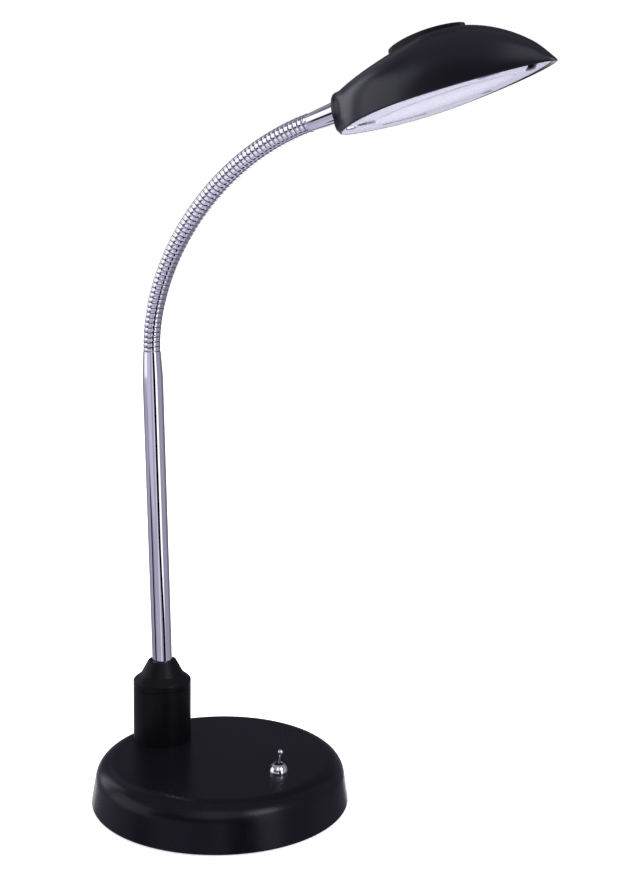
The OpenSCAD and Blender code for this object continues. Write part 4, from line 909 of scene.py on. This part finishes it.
def belly_at(u, y):
    """Height of the plate's face: it hangs below the rim by belly * (half width / the shade's),
    less towards the edges with the square of the distance, and goes deeper to the tip."""
    half = np.maximum(rim_half(u), 0.3)
    hang = belly * half / (shade_w / 2) * np.clip(1 - (y / half) ** 2, 0, 1)
    return face_set - hang + tip_set * np.clip((u - tip_set_at) / tip_set_l, 0, 1) ** 1.5


def sunk_by(off, soft):
    """1 inside a shape and 0 outside it, from the distance off its edge, eased over soft."""
    return smooth(0.5 - off / soft)


def off_line(u, y, start, stop, half_w):
    """Distance off a slot with round ends: to the nearest point of its middle line, less half
    its width."""
    run = np.array(stop) - np.array(start)
    t = np.clip(((u - start[0]) * run[0] + (y - start[1]) * run[1]) / (run @ run), 0, 1)
    return np.hypot(u - start[0] - t * run[0], y - start[1] - t * run[1]) - half_w


def off_oval(u, y, centre, radii):
    """Distance off an oval, nearly: (scaled distance from its centre - 1) * its smaller radius."""
    return (np.hypot((u - centre[0]) / radii[0], (y - centre[1]) / radii[1]) - 1) * min(radii)


screw_at, tip_seat = (10.4, -6.4), ((110.7, -4.9), (106.9, 0.8))


def sunk_depth(u, y):
    """Depth under the plate's face: the sum of every seat's, slit's and notch's own depth at the
    point. Each row is a depth, how soft its edge is, and the distance off it."""
    return sum(depth * sunk_by(off, soft) for depth, soft, off in (
        (0.7, 0.4, off_oval(u, y, screw_at, (2.5, 2.5))),                  # screw beside the ferrule
        (1.3, 0.4, off_oval(u, y, (17.3, -6.6), (2.2, 1.9))),              # notch of the bent wire
        (1.3, 0.3, off_line(u, y, (22.2, 6.9), (42.8, 13.4), 0.75)),       # slit
        (1.3, 0.4, off_line(u, y, (76.2, 12.7), (79.4, 13.2), 1.0)),       # catch slot
        (0.5, 0.5, off_line(u, y, (87.6, -13.0), (95.6, -12.2), 0.9)),     # shallow catch slot
        (3.2, 0.5, off_line(u, y, *tip_seat, 1.9))))                       # screw near the tip


plate_columns, face_rows, back_rows, plate_gap = 400, 140, 20, 0.06
plate_back, tip_seat_back, edge_fall, edge_width = 1.45, 3.4, 0.25, 0.35
t = np.linspace(0, 1, plate_columns + 1)
plate_u, plate_half = inset_outline(skin_l * (0.65 * t + 0.175 * (1 - np.cos(np.pi * t))),
                                    seat_inset + plate_gap)
# the face from one edge to the other, with rounded edges, and then the back in the other direction
even = np.linspace(-1, 1, face_rows + 1)
face_reach = np.sin(np.pi / 2 * even) * 0.25 + 0.75 * even
face_u = plate_u[:, None] + 0 * face_reach
face_y = plate_half[:, None] * face_reach
edge_off = plate_half[:, None] * (1 - np.abs(face_reach))
sunk = sunk_depth(face_u, face_y)
face_z = belly_at(face_u, face_y) + sunk + edge_fall * quarter_round(edge_off / edge_width)
back_reach = np.linspace(1, -1, back_rows)
back_u, back_y = plate_u[:, None] + 0 * back_reach, plate_half[:, None] * back_reach
back_z = plate_back + tip_seat_back * sunk_by(off_line(back_u, back_y, *tip_seat, 3.6), 1.5)
plate = np.concatenate([np.stack([face_u, face_y, face_z], -1), np.stack([back_u, back_y, back_z], -1)], 1)
# each end of the plate closes in one point
plate[[0, -1]] = plate[[0, -1]][:, :1]
plate[[0, -1], :, 1:] = 0, 0.7
# painted shade: the seats and slit are coloured dark inside, the seat beside the ferrule a little less
painted_shade_in_seats = np.concatenate([np.clip(sunk / 0.8 - 0.1, 0, 1), 0 * back_u], 1)
painted_shade_in_seats *= np.where(np.hypot(plate[..., 0] - screw_at[0], plate[..., 1] - screw_at[1]) < 4, 0.8, 1)
underside = surface("underside_plate", in_head(plate.reshape(-1, 3)),
                    wrapped(plate_columns + 1, plate.shape[1], False),
                    panel_white, "head", sharp=60, shade=painted_shade_in_seats)
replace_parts(underside, "underside_panel")
painted(nickel, "panel_screws")

# a bent wire lies on the plate, and both its ends dip into it
wire_from, wire_to, wire_r = np.array([17.6, -7.0]), np.array([24.0, -4.4]), 0.5
wire_run = wire_to - wire_from
wire_l = np.linalg.norm(wire_run)
u_dir = np.array([*wire_run / wire_l, 0])
y_dir = np.array([-u_dir[1], u_dir[0], 0])
step_along = np.linspace(0, 1, 41)
dip = 0.9 * np.clip(1 - np.minimum(step_along, 1 - step_along) / 0.08, 0, 1) ** 2
wire_path = np.array([*wire_from, -0.7]) + step_along[:, None] * wire_l * u_dir + dip[:, None] * [0, 0, 1]
wire_sides = 20
wire_turn = np.arange(wire_sides) * 2 * np.pi / wire_sides
wire_ring = np.cos(wire_turn)[:, None] * y_dir + np.sin(wire_turn)[:, None] * [0, 0, 1]
wire_skin = wire_path[:, None] + wire_r * wire_ring
flat_end = 0 * wire_skin[:1]
wire_grid = np.concatenate([wire_path[0] + flat_end, wire_skin, wire_path[-1] + flat_end])
surface("catch_wire", in_head(wire_grid.reshape(-1, 3)), wrapped(len(wire_grid), wire_sides, False),
        nickel, "head")

# ---- Diffuser ----
# A long oval window of frosted plastic fills most of the plate. It is domed along and across,
# stands a little proud with a rounded edge, and clips in behind the opening.
# painted light: the frosted window glows faintly, though the lamp is off
frosted = material("frosted_diffuser", {"Specular IOR Level": 0.5, "Emission Strength": 0.06}, lambda where: {
    "Base Color": noise(where, 0.02).blend((0.88, 0.87, 0.96, 1), (0.91, 0.90, 0.98, 1)),
    "Roughness": 0.24 + 0.06 * noise(where, 0.006),
    "Emission Color": noise(where, 0.05).blend((0.9, 0.88, 1.0, 1), (0.95, 0.93, 1.0, 1)),
    "Normal": bumps(noise(where, 0.0008), 0.0000006)})
window_at, window_a, window_b, proud, window_back = 0.49 * shade_l, 40.0, 13.0, 0.5, 0.7
lobe = np.linspace(0, 2 * np.pi, 241)[:-1]
# oval rings, which lie closer together towards the rounded edge
ring_at = np.r_[np.linspace(0, 0.9, 40), 0.9 + 0.1 * np.sin(np.linspace(0.05, 1, 18) * np.pi / 2)]
window_u = window_at + window_a * ring_at[:, None] * np.cos(lobe)
window_y = window_b * ring_at[:, None] * np.sin(lobe)
rise = proud * np.sqrt(1 - np.clip(ring_at, 0, 0.99999) ** 3.2) * (0.6 + 0.4 * (1 - ring_at ** 2))
dome = np.stack([window_u, window_y, belly_at(window_u, window_y) - rise[:, None]], -1)
# the back is flat: its edge, and then its middle
back = dome[[-1, 0]].copy()
back[..., 2] = window_back
window = np.concatenate([dome, back])
diffuser = surface("diffuser_dome", in_head(window.reshape(-1, 3)), wrapped(len(window), len(lobe), False),
                   frosted, "head", sharp=50)
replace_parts(diffuser, "diffuser")
